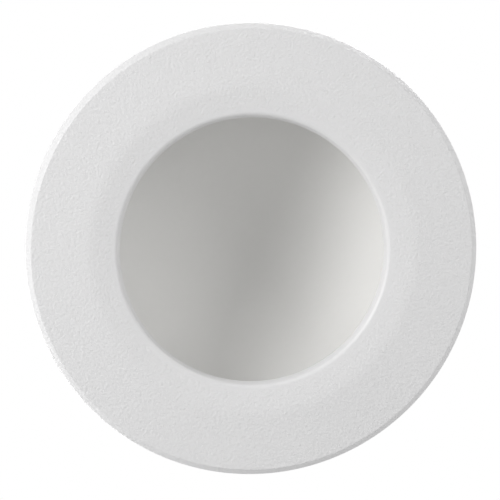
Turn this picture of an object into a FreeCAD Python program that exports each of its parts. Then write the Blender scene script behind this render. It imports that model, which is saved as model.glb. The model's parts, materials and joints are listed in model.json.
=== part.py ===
import FreeCAD, Part
import math
import os
import re

import Sketcher

V = FreeCAD.Vector
AXIS_Z = V(0, 0, 1)
# Two places nearer than this count as one.
SAME_PLACE = 1e-4

# Driving dimensions in millimetres, angles in degrees. Z is up into the ceiling and zero is the
# ceiling's lower face. Radii are taken from the light's centre line.
SIZES = {
    # trim ring
    "opening_radius": 53.0,
    "flange_cover": 11.0,
    "trim_side": 4.0,
    "chamfer_width": 2.6,
    "chamfer_rise": 3.0,
    "funnel_width": 8.7,
    "crest_rise": 1.65,
    "crest_blend": 30.0,
    "funnel_rise": 0.85,
    "lip_round": 3.0,
    "edge_round": 0.5,
    "collar_wall": 2.2,
    "spigot_wall": 2.5,
    "spigot_height": 6.0,
    "spigot_lead": 0.8,
    "channel_width": 11.3,
    "channel_floor": 3.3,
    "ledge_step": 1.5,
    # ceiling gasket
    "gasket_height": 1.5,
    "gasket_gap": 1.5,
    "gasket_inset": 2.0,
    # light ring behind the lip
    "ring_gap": 0.5,
    "pad_height": 0.5,
    "board_height": 1.6,
    "board_tab_width": 8.0,
    "board_tab_edge": 0.5,
    "tab_side_gap": 1.0,
    "tab_end_gap": 0.7,
    "chip_size": 3.0,
    "chip_height": 0.8,
    "chip_count": 48.0,
    "ring_screw_radius": 1.25,
    "ring_screw_head": 1.9,
    "ring_screw_head_height": 0.8,
    "ring_screw_grip": 1.8,
    "ring_screw_angle": 30.0,
    "diffuser_height": 1.6,
    "diffuser_gap": 0.15,
    "plug_width": 5.4,
    "plug_depth": 4.2,
    "plug_height": 2.5,
    # seal, dome and rear housing
    "seal_height": 1.0,
    "seal_gap": 0.6,
    "seal_inset": 0.5,
    "dome_wall": 1.0,
    "dome_inset": 0.5,
    "dome_depth": 42.5,
    "dome_clear": 1.5,
    "rim_edge": 0.65,
    "rim_gap": 0.4,
    "rim_height": 3.0,
    "rim_screw_angle": 36.0,
    "rim_screw_depth": 6.5,
    "housing_wall": 2.5,
    "housing_collar": 7.5,
    "housing_taper": 19.5,
    "top_plate": 2.5,
    "fin_count": 20.0,
    "fin_thickness": 1.8,
    "fin_inset": 1.1,
    "fin_straight": 12.0,
    "fin_top_width": 7.0,
    "fin_root": 1.0,
    # fasteners
    "screw_radius": 1.5,
    "screw_head": 2.75,
    "screw_head_height": 2.0,
    "hex_radius": 1.3,
    "hex_depth": 1.2,
    "head_gap": 0.45,
    "screw_hole_gap": 0.2,
    "thread_gap": 0.05,
    "blind_gap": 0.5,
    # light ring lead
    "lead_radius": 1.5,
    "lead_lean": 3.7,
    "lead_lean_rise": 20.0,
    "lead_stand_off": 9.0,
    "lead_turn_rise": 14.0,
    "lead_port_rise": 10.9,
    "grommet_gap": 0.05,
    "grommet_wall": 0.8,
    "grommet_lip": 0.6,
    "grommet_lip_height": 0.8,
    # driver case
    "case_half_width": 30.0,
    "case_half_length": 50.0,
    "case_height": 24.0,
    "case_wall": 2.0,
    "case_round": 3.0,
    "bay_length": 32.0,
    "bay_wall": 1.5,
    "cover_height": 2.0,
    "cover_gap": 0.3,
    "case_screw_out": 7.0,
    "case_screw_inset": 20.0,
    "case_screw_behind": 8.0,
    "case_screw_grip": 7.0,
    "cover_post_inset": 3.0,
    "cover_post_radius": 3.2,
    "cover_screw_grip": 8.0,
    "board_post_side": 4.5,
    "board_post_inset": 3.0,
    "board_post_radius": 2.6,
    "board_post_height": 4.0,
    "driver_board_side_gap": 1.5,
    "driver_board_back_gap": 6.5,
    "driver_board_front_gap": 7.0,
    "driver_board_height": 1.6,
    "board_screw_radius": 1.25,
    "board_screw_head": 2.2,
    "board_screw_head_height": 1.6,
    "board_screw_grip": 3.0,
    # pieces on the driver board
    "core_half_width": 11.0,
    "core_length": 14.0,
    "core_height": 12.0,
    "core_share": 0.45,
    "winding_radius": 6.0,
    "winding_overhang": 3.0,
    "component_gap": 1.0,
    "bulk_can_radius": 5.0,
    "bulk_can_headroom": 2.4,
    "bulk_can_share": 0.33,
    "small_can_radius": 4.0,
    "small_can_headroom": 4.4,
    "small_can_share": 0.73,
    "can_round": 0.8,
    "choke_share": 0.31,
    "choke_major": 3.8,
    "choke_minor": 1.6,
    "choke_foot": 0.8,
    "chip_block_width": 6.0,
    "chip_block_length": 5.0,
    "chip_block_height": 2.2,
    "chip_block_gap": 2.0,
    "output_plug_half": 4.0,
    "output_plug_length": 6.0,
    "output_plug_height": 8.5,
    "output_plug_inset": 1.0,
    # mains side
    "terminal_half_width": 13.0,
    "terminal_length": 13.0,
    "terminal_height": 13.5,
    "terminal_gap": 0.5,
    "terminal_pitch": 8.0,
    "wire_hole_radius": 1.6,
    "wire_hole_rise": 4.5,
    "button_half": 2.5,
    "button_height": 7.0,
    "button_travel": 1.2,
    "button_proud": 1.7,
    "button_gap": 0.3,
    "wire_radius": 0.8,
    "wire_rise": 4.0,
    "wire_inset": 2.5,
    "inlet_radius": 4.0,
    "inlet_wall": 1.5,
    "inlet_lip": 1.2,
    "inlet_lip_height": 1.5,
    "inlet_drop": 1.0,
    "clamp_inset": 7.0,
    "clamp_post_x": 9.0,
    "clamp_post_radius": 3.0,
    "clamp_length": 6.0,
    "clamp_height": 2.0,
    "clamp_screw_grip": 5.0,
    # hinged terminal lid
    "lid_axis_out": 3.0,
    "lid_knuckle": 2.4,
    "knuckle_inset": 13.0,
    "lid_ear": 4.0,
    "lid_side_gap": 0.3,
    "lid_pin_radius": 1.0,
    "lid_pin_head": 0.6,
    "lid_lip": 1.2,
    "running_gap": 0.06,
    # ceiling clips
    "clip_pad_inset": 1.0,
    "clip_pad_half": 8.0,
    "clip_pad_edge": 1.0,
    "sheet": 1.2,
    "bracket_drop": 6.0,
    "ear_rise": 5.0,
    "ear_over": 4.9,
    "clip_axis_rise": 13.5,
    "clip_pin_radius": 1.5,
    "clip_pin_over": 0.6,
    "clip_screw_rise": 7.5,
    "clip_screw_apart": 6.0,
    "clip_screw_edge": 3.0,
    "clip_screw_head_height": 1.0,
    "clip_screw_head": 2.6,
    "clip_screw_grip": 4.5,
    "arm_side_gap": 0.3,
    "arm_lug": 2.9,
    "arm_length": 15.6,
    "arm_start": 1.0,
    "arm_bend": 9.5,
    "arm_angle": 40.5,
    "foot_radius": 2.6,
    "foot_set": 0.6,
    "foot_over": 1.0,
    "coil_radius": 3.0,
    "coil_wire": 0.5,
    "coil_pitch": 1.7,
    "coil_turns": 5.0,
    "coil_leg_up": 6.0,
    "coil_leg_out": 8.0,
    "coil_clear": 0.3,
    # cuts run this far past the faces that they open
    "overrun": 2.0,
}

# Levels and places that follow from the driving dimensions.
DERIVED = {
    "collar_outer": "opening_radius + collar_wall",
    "channel_radius": "collar_outer + channel_width",
    "step_radius": "channel_radius + ledge_step",
    "dome_base": "channel_radius - dome_inset",
    "housing_inner": "dome_base + dome_wall",
    "wall_radius": "housing_inner + housing_wall",
    "rim_screw_circle": "wall_radius + screw_head + head_gap",
    "rim_radius": "rim_screw_circle + screw_head + rim_edge",
    "spigot_inner": "rim_radius + rim_gap",
    "spigot_radius": "spigot_inner + spigot_wall",
    "trim_radius": "spigot_radius + flange_cover",
    "crest_radius": "opening_radius + lip_round + funnel_width",
    "flange_back": "0 - gasket_height",
    "flange_edge": "flange_back - trim_side",
    "flange_face": "flange_edge - chamfer_rise",
    "crest_level": "flange_face - crest_rise",
    "lip_level": "crest_level + funnel_rise",
    "lip_top": "lip_level + lip_round",
    "funnel_lean": "atan(funnel_rise / funnel_width)",
    "flange_lean": "atan(crest_rise / (trim_radius - chamfer_width - crest_radius))",
    "crest_reach": "crest_blend * tan((funnel_lean + flange_lean) / 2)",
    "collar_top": "flange_back - diffuser_height",
    "channel_level": "collar_top - channel_floor",
    "spigot_top": "flange_back + spigot_height",
    "gasket_inner": "spigot_radius + gasket_gap",
    "gasket_outer": "trim_radius - gasket_inset",
    "board_level": "channel_level + pad_height",
    "board_top": "board_level + board_height",
    "board_inner": "collar_outer + ring_gap",
    "board_outer": "channel_radius - ring_gap",
    "board_middle": "(board_inner + board_outer) / 2",
    "board_tab_end": "rim_screw_circle + plug_depth / 2 + board_tab_edge",
    "tab_pocket_end": "board_tab_end + tab_end_gap",
    "tab_pocket_width": "board_tab_width + 2 * tab_side_gap",
    "seal_inner": "step_radius + seal_gap",
    "seal_outer": "rim_radius - seal_inset",
    "dome_low": "flange_back + seal_height",
    "dome_high": "dome_low + dome_wall",
    "dome_sphere": "(dome_base * dome_base + dome_depth * dome_depth) / (2 * dome_depth)",
    "dome_outer": "dome_sphere + dome_wall",
    "dome_centre": "dome_low + dome_depth - dome_sphere",
    "dome_rim_join": "sqrt(dome_outer * dome_outer - (dome_high - dome_centre) * (dome_high - dome_centre))",
    "rim_top": "dome_high + rim_height",
    "wall_top": "dome_high + housing_collar",
    "plate_low": "dome_centre + dome_outer + dome_clear",
    "plate_top": "plate_low + top_plate",
    "housing_top": "wall_radius - housing_taper",
    "cone_lean": "housing_taper / (plate_top - wall_top)",
    "fin_reach": "rim_radius - fin_inset",
    "fin_top_radius": "housing_top + fin_top_width",
    "case_floor": "plate_top + case_wall",
    "case_top": "plate_top + case_height",
    "case_inner_x": "case_half_width - case_wall",
    "case_inner_y": "case_half_length - case_wall",
    "bay_wall_place": "bay_length - case_inner_y",
    "bay_wall_front": "bay_wall_place + bay_wall",
    "case_screw_x": "terminal_half_width + case_screw_out",
    "case_screw_front": "case_inner_y - case_screw_inset",
    "case_screw_back": "bay_wall_place - case_screw_behind",
    "cover_post_x": "case_inner_x - cover_post_inset",
    "cover_post_back": "bay_wall_front + cover_post_inset",
    "cover_post_front": "case_inner_y - cover_post_inset",
    "driver_board_half": "case_inner_x - driver_board_side_gap",
    "driver_board_back": "bay_wall_front + driver_board_back_gap",
    "driver_board_front": "case_inner_y - driver_board_front_gap",
    "driver_board_length": "driver_board_front - driver_board_back",
    "driver_board_level": "case_floor + board_post_height",
    "driver_board_top": "driver_board_level + driver_board_height",
    "board_post_x": "driver_board_half - board_post_side",
    "board_post_back": "driver_board_back + board_post_inset",
    "board_post_front": "driver_board_front - board_post_inset",
    "core_middle": "driver_board_back + core_share * driver_board_length",
    "core_back": "core_middle - core_length / 2",
    "bulk_can_x": "0 - core_half_width - component_gap - bulk_can_radius",
    "bulk_can_y": "driver_board_back + bulk_can_share * driver_board_length",
    "bulk_can_height": "case_top - driver_board_top - bulk_can_headroom",
    "small_can_x": "core_half_width + component_gap + small_can_radius",
    "small_can_y": "driver_board_back + small_can_share * driver_board_length",
    "small_can_height": "case_top - driver_board_top - small_can_headroom",
    "choke_x": "core_half_width + component_gap + choke_major + choke_minor",
    "choke_y": "driver_board_back + choke_share * driver_board_length",
    "output_plug_front": "driver_board_front - output_plug_inset",
    "output_plug_back": "output_plug_front - output_plug_length",
    "chip_block_x": "output_plug_half + chip_block_gap + chip_block_width / 2",
    "chip_block_y": "(output_plug_front + output_plug_back - chip_block_length) / 2",
    "terminal_front": "bay_wall_place - terminal_gap",
    "terminal_back": "terminal_front - terminal_length",
    "terminal_top": "case_floor + terminal_height",
    "wire_hole_level": "case_floor + wire_hole_rise",
    "button_low": "terminal_top + button_proud - button_height",
    "button_half_clear": "button_half + button_gap",
    "button_pocket": "button_height - button_proud + button_travel + cover_gap",
    "button_y": "(terminal_front + terminal_back) / 2",
    "wire_level": "driver_board_top + wire_rise",
    "wire_end": "driver_board_back + wire_inset",
    "inlet_level": "(case_floor + case_top) / 2 - inlet_drop",
    "inlet_hole": "inlet_radius + inlet_wall",
    "clamp_level": "inlet_level + inlet_radius",
    "clamp_place": "clamp_inset - case_inner_y",
    "lid_axis_y": "0 - case_half_length - lid_axis_out",
    "lid_axis_z": "case_top + cover_height / 2",
    "lid_front": "bay_wall_place + bay_wall / 2 - cover_gap / 2",
    "lid_knuckle_half": "case_half_width - knuckle_inset",
    "cover_back": "lid_front + cover_gap",
    "lid_top": "case_top + cover_height",
    "ear_inner": "lid_knuckle_half + lid_side_gap",
    "ear_outer": "ear_inner + lid_ear",
    "lead_out": "rim_screw_circle",
    "lead_start": "board_top + plug_height",
    "lead_level": "case_floor + lead_port_rise",
    "lead_bend": "lead_level - lead_turn_rise",
    "lead_bend_out": "lead_out - lead_lean",
    "lead_knee": "lead_bend - lead_lean_rise",
    "lead_turn_out": "case_half_length + lead_stand_off",
    "lead_sleeve": "lead_radius + grommet_gap",
    "lead_hole": "lead_sleeve + grommet_wall",
    "lead_lip": "lead_hole + grommet_lip",
    "clip_pad_face": "wall_radius - clip_pad_inset",
    "clip_axis_z": "rim_top + clip_axis_rise",
    "bracket_face": "clip_pad_face + sheet",
    "clip_axis_x": "bracket_face + coil_clear + coil_wire + coil_radius",
    "bracket_low": "clip_axis_z - bracket_drop",
    "clip_pad_low": "bracket_low - clip_pad_edge",
    "clip_screw_low": "clip_axis_z + clip_screw_rise",
    "clip_screw_high": "clip_screw_low + clip_screw_apart",
    "clip_pad_high": "clip_screw_high + clip_screw_edge",
    "ear_high": "clip_axis_z + ear_rise",
    "ear_reach": "clip_axis_x + ear_over",
    "ear_inner_half": "clip_pad_half - sheet",
    "lug_outer": "ear_inner_half - arm_side_gap",
    "lug_inner": "lug_outer - sheet",
    "web_top": "0 - coil_radius - coil_wire - coil_clear",
    "web_low": "web_top - sheet",
    "coil_half": "coil_turns * coil_pitch / 2",
}

doc = FreeCAD.newDocument("downlight")
sheet = doc.addObject("Spreadsheet::Sheet", "Sizes")
for row, (name, number) in enumerate(SIZES.items(), start=1):
    sheet.set(f"A{row}", name)
    sheet.set(f"B{row}", str(number))
    sheet.setAlias(f"B{row}", name)
NAMES = set(SIZES)


def bound(text):
    """Turns names of sizes in an expression into references to the sheet."""
    return re.sub(r"[a-z_][a-z_0-9]*", lambda m: "Sizes." + m[0] if m[0] in NAMES else m[0], text)


for row, (name, text) in enumerate(DERIVED.items(), start=len(SIZES) + 1):
    sheet.set(f"A{row}", name)
    sheet.set(f"B{row}", "=" + re.sub(r"Sizes\.", "", bound(text)))
    sheet.setAlias(f"B{row}", name)
    NAMES.add(name)
doc.recompute()


def number(text):
    """Value of an expression of named sizes."""
    return float(sheet.evalExpression(bound(text)))


def bind(item, prop, text):
    item.setExpression(prop, bound(text))


PLACED = []


def new_body(name):
    body = doc.addObject("PartDesign::Body", name)
    body.Label = name
    PLACED.append(body)
    return body


def new_sketch(body, role, lift="0", turn=None):
    """A sketch on one of the body's own origin planes, moved along the plane's normal by lift."""
    sketch = body.newObject("Sketcher::SketchObject", f"{body.Name}_sketch")
    plane = next(f for f in body.Origin.OriginFeatures if f.Role == role)
    sketch.AttachmentSupport = [(plane, "")]
    sketch.MapMode = "FlatFace"
    if turn is not None:
        sketch.AttachmentOffset = FreeCAD.Placement(V(), FreeCAD.Rotation(V(0, 1, 0), turn))
    if lift != "0":
        bind(sketch, "AttachmentOffset.Base.z", lift)
    return sketch


def pin_point(sketch, geo, spot, x, y):
    """Fixes a point of the sketch at two expressions."""
    for kind, text, axis in (("DistanceX", x, -2), ("DistanceY", y, -1)):
        if text == "0":
            sketch.addConstraint(Sketcher.Constraint("PointOnObject", geo, spot, axis))
            continue
        at = sketch.addConstraint(Sketcher.Constraint(kind, -1, 1, geo, spot, number(text)))
        bind(sketch, f"Constraints[{at}]", text)


def draw_loop(sketch, corners, arcs=None):
    """Closed outline through corners. arcs gives, by the corner that a side starts at, the side's
    radius and whether its centre lies to the left (1) or right (-1) of the way along it."""
    arcs = arcs or {}
    points = [V(number(x), number(y), 0) for x, y in corners]
    count = len(corners)
    first = sketch.GeometryCount
    ends = []
    for i in range(count):
        a, b = points[i], points[(i + 1) % count]
        if i not in arcs:
            sketch.addGeometry(Part.LineSegment(a, b), False)
            ends.append((1, 2))
            continue
        radius, side = number(arcs[i][0]), arcs[i][1]
        chord = b - a
        rise = math.sqrt(radius * radius - chord.Length * chord.Length / 4)
        normal = V(-chord.y, chord.x, 0).normalize()
        centre = (a + b) / 2 + normal * rise * side
        start, end = (a, b) if side > 0 else (b, a)
        angles = [math.atan2(p.y - centre.y, p.x - centre.x) for p in (start, end)]
        circle = Part.Circle(centre, AXIS_Z, radius)
        sketch.addGeometry(Part.ArcOfCircle(circle, angles[0], angles[1]), False)
        ends.append((1, 2) if side > 0 else (2, 1))
    for i in range(count):
        after = (i + 1) % count
        sketch.addConstraint(
            Sketcher.Constraint("Coincident", first + i, ends[i][1], first + after, ends[after][0])
        )
    for i, (x, y) in enumerate(corners):
        pin_point(sketch, first + i, ends[i][0], x, y)
    for i, (radius, _side) in arcs.items():
        at = sketch.addConstraint(Sketcher.Constraint("Radius", first + i, number(radius)))
        bind(sketch, f"Constraints[{at}]", radius)


def draw_box(sketch, low_x, low_y, high_x, high_y):
    draw_loop(sketch, [(low_x, low_y), (high_x, low_y), (high_x, high_y), (low_x, high_y)])


def draw_circle(sketch, x, y, radius):
    centre = V(number(x), number(y), 0)
    at = sketch.addGeometry(Part.Circle(centre, AXIS_Z, number(radius)), False)
    pin_point(sketch, at, 3, x, y)
    c = sketch.addConstraint(Sketcher.Constraint("Radius", at, number(radius)))
    bind(sketch, f"Constraints[{c}]", radius)


def draw_hexagon(sketch, x, y, radius):
    corners = [
        (f"{x} + {radius} * cos({a} * 1 deg)", f"{y} + {radius} * sin({a} * 1 deg)")
        for a in range(0, 360, 60)
    ]
    draw_loop(sketch, corners)


def settle(body, feature):
    """Recomputes, and stops where the new feature failed."""
    doc.recompute()
    if "Invalid" in feature.State or "Error" in feature.State:
        raise ValueError(f"{feature.Name} of {body.Label} failed")


def pad(body, sketch, length, symmetric=False, back=False):
    feature = body.newObject("PartDesign::Pad", f"{body.Name}_pad")
    feature.Profile = sketch
    if symmetric:
        feature.SideType = "Symmetric"
    feature.Reversed = back
    bind(feature, "Length", length)
    settle(body, feature)
    return feature


def pocket(body, sketch, length, symmetric=False, back=False):
    """Cuts downward from the sketch, or to both sides, and proves that it cut something."""
    before = body.Shape.Volume
    feature = body.newObject("PartDesign::Pocket", f"{body.Name}_pocket")
    feature.Profile = sketch
    if symmetric:
        feature.SideType = "Symmetric"
    feature.Reversed = back
    bind(feature, "Length", length)
    settle(body, feature)
    if not body.Shape.Volume < before:
        raise ValueError(f"a pocket of {body.Label} cuts nothing")
    return feature


def revolve(body, sketch):
    feature = body.newObject("PartDesign::Revolution", f"{body.Name}_turned")
    feature.Profile = sketch
    feature.ReferenceAxis = (sketch, ["V_Axis"])
    feature.Angle = 360
    settle(body, feature)
    return feature


def ring_pattern(body, feature, count):
    axis = next(f for f in body.Origin.OriginFeatures if f.Role == "Z_Axis")
    pattern = body.newObject("PartDesign::PolarPattern", f"{body.Name}_ring")
    pattern.Originals = [feature]
    pattern.Axis = (axis, [""])
    pattern.Angle = 360
    bind(pattern, "Occurrences", count)
    body.Tip = pattern
    settle(body, pattern)
    return pattern


def ring_edges(body, rings):
    """Names of the round edges about the Z axis at the given radii and heights."""
    wanted = [(number(r), number(z)) for r, z in rings]
    names = []
    for i, edge in enumerate(body.Shape.Edges, start=1):
        curve = edge.Curve
        if not isinstance(curve, Part.Circle) or math.hypot(curve.Center.x, curve.Center.y) > SAME_PLACE:
            continue
        for radius, level in wanted:
            if abs(curve.Radius - radius) < SAME_PLACE and abs(curve.Center.z - level) < SAME_PLACE:
                names.append(f"Edge{i}")
    return names


def corner_edges(body, corners):
    """Names of the upright edges at the given places."""
    wanted = [(number(x), number(y)) for x, y in corners]
    names = []
    for i, edge in enumerate(body.Shape.Edges, start=1):
        a, b = edge.Vertexes[0].Point, edge.Vertexes[-1].Point
        if math.hypot(a.x - b.x, a.y - b.y) > SAME_PLACE or abs(a.z - b.z) < SAME_PLACE:
            continue
        if any(math.hypot(a.x - x, a.y - y) < SAME_PLACE for x, y in wanted):
            names.append(f"Edge{i}")
    return names


def round_off(body, edges, radius):
    if not edges:
        raise ValueError(f"no edge of {body.Label} to round")
    feature = body.newObject("PartDesign::Fillet", f"{body.Name}_round")
    feature.Base = (feature.BaseFeature, edges)
    bind(feature, "Radius", radius)
    settle(body, feature)
    return feature


def flat_ring(name, inner, outer, low, height):
    body = new_body(name)
    sketch = new_sketch(body, "XY_Plane", low)
    draw_circle(sketch, "0", "0", outer)
    draw_circle(sketch, "0", "0", inner)
    pad(body, sketch, height)
    return body


def round_holes(body, places, radius, top, depth):
    sketch = new_sketch(body, "XY_Plane", top)
    for x, y in places:
        draw_circle(sketch, x, y, radius)
    return pocket(body, sketch, depth)


def screw_set(name, places, radius, head, head_height, seat, grip):
    """Screws standing on the level called seat, each with a hexagon socket."""
    body = new_body(name)
    shank = new_sketch(body, "XY_Plane", f"{seat} - {grip}")
    for x, y in places:
        draw_circle(shank, x, y, radius)
    pad(body, shank, grip)
    cap = new_sketch(body, "XY_Plane", seat)
    for x, y in places:
        draw_circle(cap, x, y, head)
    pad(body, cap, head_height)
    socket = new_sketch(body, "XY_Plane", f"{seat} + {head_height}")
    for x, y in places:
        draw_hexagon(socket, x, y, f"{head} * hex_radius / screw_head")
    pocket(body, socket, f"{head_height} * hex_depth / screw_head_height")
    return body


def block(name, low_x, low_y, high_x, high_y, low, height):
    body = new_body(name)
    sketch = new_sketch(body, "XY_Plane", low)
    draw_box(sketch, low_x, low_y, high_x, high_y)
    pad(body, sketch, height)
    return body


def around(radius, start, count):
    """Places on a circle, as pairs of expressions."""
    step = 360 / count
    return [
        (f"{radius} * cos({start} + {k * step} * 1 deg)", f"{radius} * sin({start} + {k * step} * 1 deg)")
        for k in range(count)
    ]


def crossing(x, low_y, high_y):
    return [(x, low_y), (f"0 - {x}", low_y), (x, high_y), (f"0 - {x}", high_y)]


RIM_SCREWS = around("rim_screw_circle", "rim_screw_angle * 1 deg", 4)
RING_SCREWS = around("board_middle", "ring_screw_angle * 1 deg", 3)
LEAD_HOLE = [("0", "lead_out")]


# Trim ring: flange with a chamfered rim, a broad crest, the rounded lip round the opening, the
# channel for the light ring and the spigot that stands in the ceiling's hole.
trim = new_body("trim_ring")
profile = new_sketch(trim, "XZ_Plane")
draw_loop(
    profile,
    [
        ("spigot_radius - spigot_lead", "spigot_top"),
        ("spigot_inner", "spigot_top"),
        ("spigot_inner", "flange_back"),
        ("step_radius", "flange_back"),
        ("step_radius", "collar_top"),
        ("channel_radius", "collar_top"),
        ("channel_radius", "channel_level"),
        ("collar_outer", "channel_level"),
        ("collar_outer", "collar_top"),
        ("opening_radius", "collar_top"),
        ("opening_radius", "lip_top"),
        ("opening_radius + lip_round", "lip_level"),
        ("crest_radius - crest_reach * cos(funnel_lean)", "crest_level + crest_reach * sin(funnel_lean)"),
        ("crest_radius + crest_reach * cos(flange_lean)", "crest_level + crest_reach * sin(flange_lean)"),
        ("trim_radius - chamfer_width", "flange_face"),
        ("trim_radius", "flange_edge"),
        ("trim_radius", "flange_back"),
        ("spigot_radius", "flange_back"),
        ("spigot_radius", "spigot_top - spigot_lead"),
    ],
    {10: ("lip_round", 1), 12: ("crest_blend", 1)},
)
revolve(trim, profile)
round_off(
    trim,
    ring_edges(
        trim,
        [
            ("trim_radius - chamfer_width", "flange_face"),
            ("trim_radius", "flange_edge"),
            ("trim_radius", "flange_back"),
        ],
    ),
    "edge_round",
)
tab_cut = new_sketch(trim, "XY_Plane", "flange_back + overrun")
draw_box(tab_cut, "0 - tab_pocket_width / 2", "board_middle", "tab_pocket_width / 2", "tab_pocket_end")
pocket(trim, tab_cut, "flange_back + overrun - channel_level")
round_holes(trim, RIM_SCREWS, "screw_radius + thread_gap", "flange_back", "rim_screw_depth")
round_holes(
    trim, RING_SCREWS, "ring_screw_radius + thread_gap", "channel_level", "ring_screw_grip + blind_gap"
)

# Soft gasket between the flange and the ceiling.
flat_ring("ceiling_gasket", "gasket_inner", "gasket_outer", "flange_back", "gasket_height")

# Light ring in the channel behind the lip.
pad_ring = flat_ring("thermal_pad", "board_inner", "board_outer", "channel_level", "pad_height")
round_holes(pad_ring, RING_SCREWS, "ring_screw_radius + screw_hole_gap", "board_level", "pad_height")
board = flat_ring("led_board", "board_inner", "board_outer", "board_level", "board_height")
tab = new_sketch(board, "XY_Plane", "board_level")
draw_box(tab, "0 - board_tab_width / 2", "board_middle", "board_tab_width / 2", "board_tab_end")
pad(board, tab, "board_height")
round_holes(board, RING_SCREWS, "ring_screw_radius + screw_hole_gap", "board_top", "board_height")
chips = new_body("led_chips")
chip = new_sketch(chips, "XY_Plane", "board_top")
chip_x = "board_middle * cos(180 deg / chip_count)"
chip_y = "board_middle * sin(180 deg / chip_count)"
draw_box(
    chip,
    f"{chip_x} - chip_size / 2",
    f"{chip_y} - chip_size / 2",
    f"{chip_x} + chip_size / 2",
    f"{chip_y} + chip_size / 2",
)
ring_pattern(chips, pad(chips, chip, "chip_height"), "chip_count")
screw_set(
    "board_screws",
    RING_SCREWS,
    "ring_screw_radius",
    "ring_screw_head",
    "ring_screw_head_height",
    "board_top",
    "(board_height + pad_height + ring_screw_grip)",
)
flat_ring(
    "diffuser_ring",
    "opening_radius",
    "step_radius - diffuser_gap",
    "collar_top",
    "diffuser_height",
)
block(
    "board_plug",
    "0 - plug_width / 2",
    "lead_out - plug_depth / 2",
    "plug_width / 2",
    "lead_out + plug_depth / 2",
    "board_top",
    "plug_height",
)

# Seal under the dome, the dome itself and the finned rear housing.
seal = flat_ring("dome_seal", "seal_inner", "seal_outer", "flange_back", "seal_height")
round_holes(seal, RIM_SCREWS, "screw_radius + screw_hole_gap", "dome_low", "seal_height")
round_holes(seal, LEAD_HOLE, "lead_hole", "dome_low", "seal_height")

dome = new_body("reflector_dome")
profile = new_sketch(dome, "XZ_Plane")
draw_loop(
    profile,
    [
        ("dome_base", "dome_low"),
        ("rim_radius", "dome_low"),
        ("rim_radius", "dome_high"),
        ("dome_rim_join", "dome_high"),
        ("0", "dome_centre + dome_outer"),
        ("0", "dome_centre + dome_sphere"),
    ],
    {3: ("dome_outer", 1), 5: ("dome_sphere", -1)},
)
revolve(dome, profile)
round_holes(dome, RIM_SCREWS, "screw_radius + screw_hole_gap", "dome_high", "dome_wall")
round_holes(dome, LEAD_HOLE, "lead_hole", "dome_high", "dome_wall")


def cone_line(level):
    """Radius just inside the housing's outer wall at a height, where fins and pads start."""
    return f"wall_radius - fin_root - ({level} - wall_top) * cone_lean"


housing = new_body("rear_housing")
profile = new_sketch(housing, "XZ_Plane")
draw_loop(
    profile,
    [
        ("housing_inner", "dome_high"),
        ("rim_radius", "dome_high"),
        ("rim_radius", "rim_top"),
        ("wall_radius", "rim_top"),
        ("wall_radius", "wall_top"),
        ("housing_top", "plate_top"),
        ("0", "plate_top"),
        ("0", "plate_low"),
        ("housing_top + top_plate * cone_lean - housing_wall", "plate_low"),
        ("housing_inner", "wall_top"),
    ],
)
revolve(housing, profile)
fin = new_sketch(housing, "XZ_Plane", "0", 180 / number("fin_count"))
draw_loop(
    fin,
    [
        ("wall_radius - fin_root", "rim_top"),
        ("fin_reach", "rim_top"),
        ("fin_reach", "rim_top + fin_straight"),
        ("fin_top_radius", "plate_top"),
        (cone_line("plate_top"), "plate_top"),
        ("wall_radius - fin_root", "wall_top"),
    ],
)
ring_pattern(housing, pad(housing, fin, "fin_thickness", symmetric=True), "fin_count")
for side in ("", "0 - "):
    seat = new_sketch(housing, "XZ_Plane")
    draw_loop(
        seat,
        [
            (f"{side}({cone_line('clip_pad_low')})", "clip_pad_low"),
            (f"{side}clip_pad_face", "clip_pad_low"),
            (f"{side}clip_pad_face", "clip_pad_high"),
            (f"{side}({cone_line('clip_pad_high')})", "clip_pad_high"),
        ],
    )
    pad(housing, seat, "2 * clip_pad_half", symmetric=True)
for side, back in (("", False), ("0 - ", True)):
    taps = new_sketch(housing, "YZ_Plane", f"{side}clip_pad_face")
    for level in ("clip_screw_low", "clip_screw_high"):
        draw_circle(taps, "0", level, "screw_radius + thread_gap")
    pocket(housing, taps, "clip_screw_grip + blind_gap", back=back)
round_holes(housing, RIM_SCREWS, "screw_radius + screw_hole_gap", "rim_top", "rim_height")
round_holes(housing, LEAD_HOLE, "lead_hole", "rim_top", "rim_height")
CASE_SCREWS = crossing("case_screw_x", "case_screw_back", "case_screw_front")
round_holes(housing, CASE_SCREWS, "screw_radius + thread_gap", "plate_top", "top_plate")
screw_set(
    "housing_screws",
    RIM_SCREWS,
    "screw_radius",
    "screw_head",
    "screw_head_height",
    "rim_top",
    "(rim_top - flange_back + rim_screw_depth - blind_gap)",
)

# Driver case on top of the housing, open above, with a bay for the driver and one for the mains.
case = new_body("driver_case")
shell = new_sketch(case, "XY_Plane", "plate_top")
draw_box(shell, "0 - case_half_width", "0 - case_half_length", "case_half_width", "case_half_length")
pad(case, shell, "case_height")
outer_corners = crossing("case_half_width", "0 - case_half_length", "case_half_length")
round_off(case, corner_edges(case, outer_corners), "case_round")
bays = new_sketch(case, "XY_Plane", "case_top")
draw_box(bays, "0 - case_inner_x", "0 - case_inner_y", "case_inner_x", "bay_wall_place")
draw_box(bays, "0 - case_inner_x", "bay_wall_front", "case_inner_x", "case_inner_y")
pocket(case, bays, "case_height - case_wall")
COVER_SCREWS = crossing("cover_post_x", "cover_post_back", "cover_post_front")
BOARD_SCREWS = crossing("board_post_x", "board_post_back", "board_post_front")
CLAMP_SCREWS = [("clamp_post_x", "clamp_place"), ("0 - clamp_post_x", "clamp_place")]
posts = new_sketch(case, "XY_Plane", "plate_top + case_wall / 2")
for x, y in COVER_SCREWS:
    draw_circle(posts, x, y, "cover_post_radius")
pad(case, posts, "case_height - case_wall / 2")
stands = new_sketch(case, "XY_Plane", "plate_top + case_wall / 2")
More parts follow.
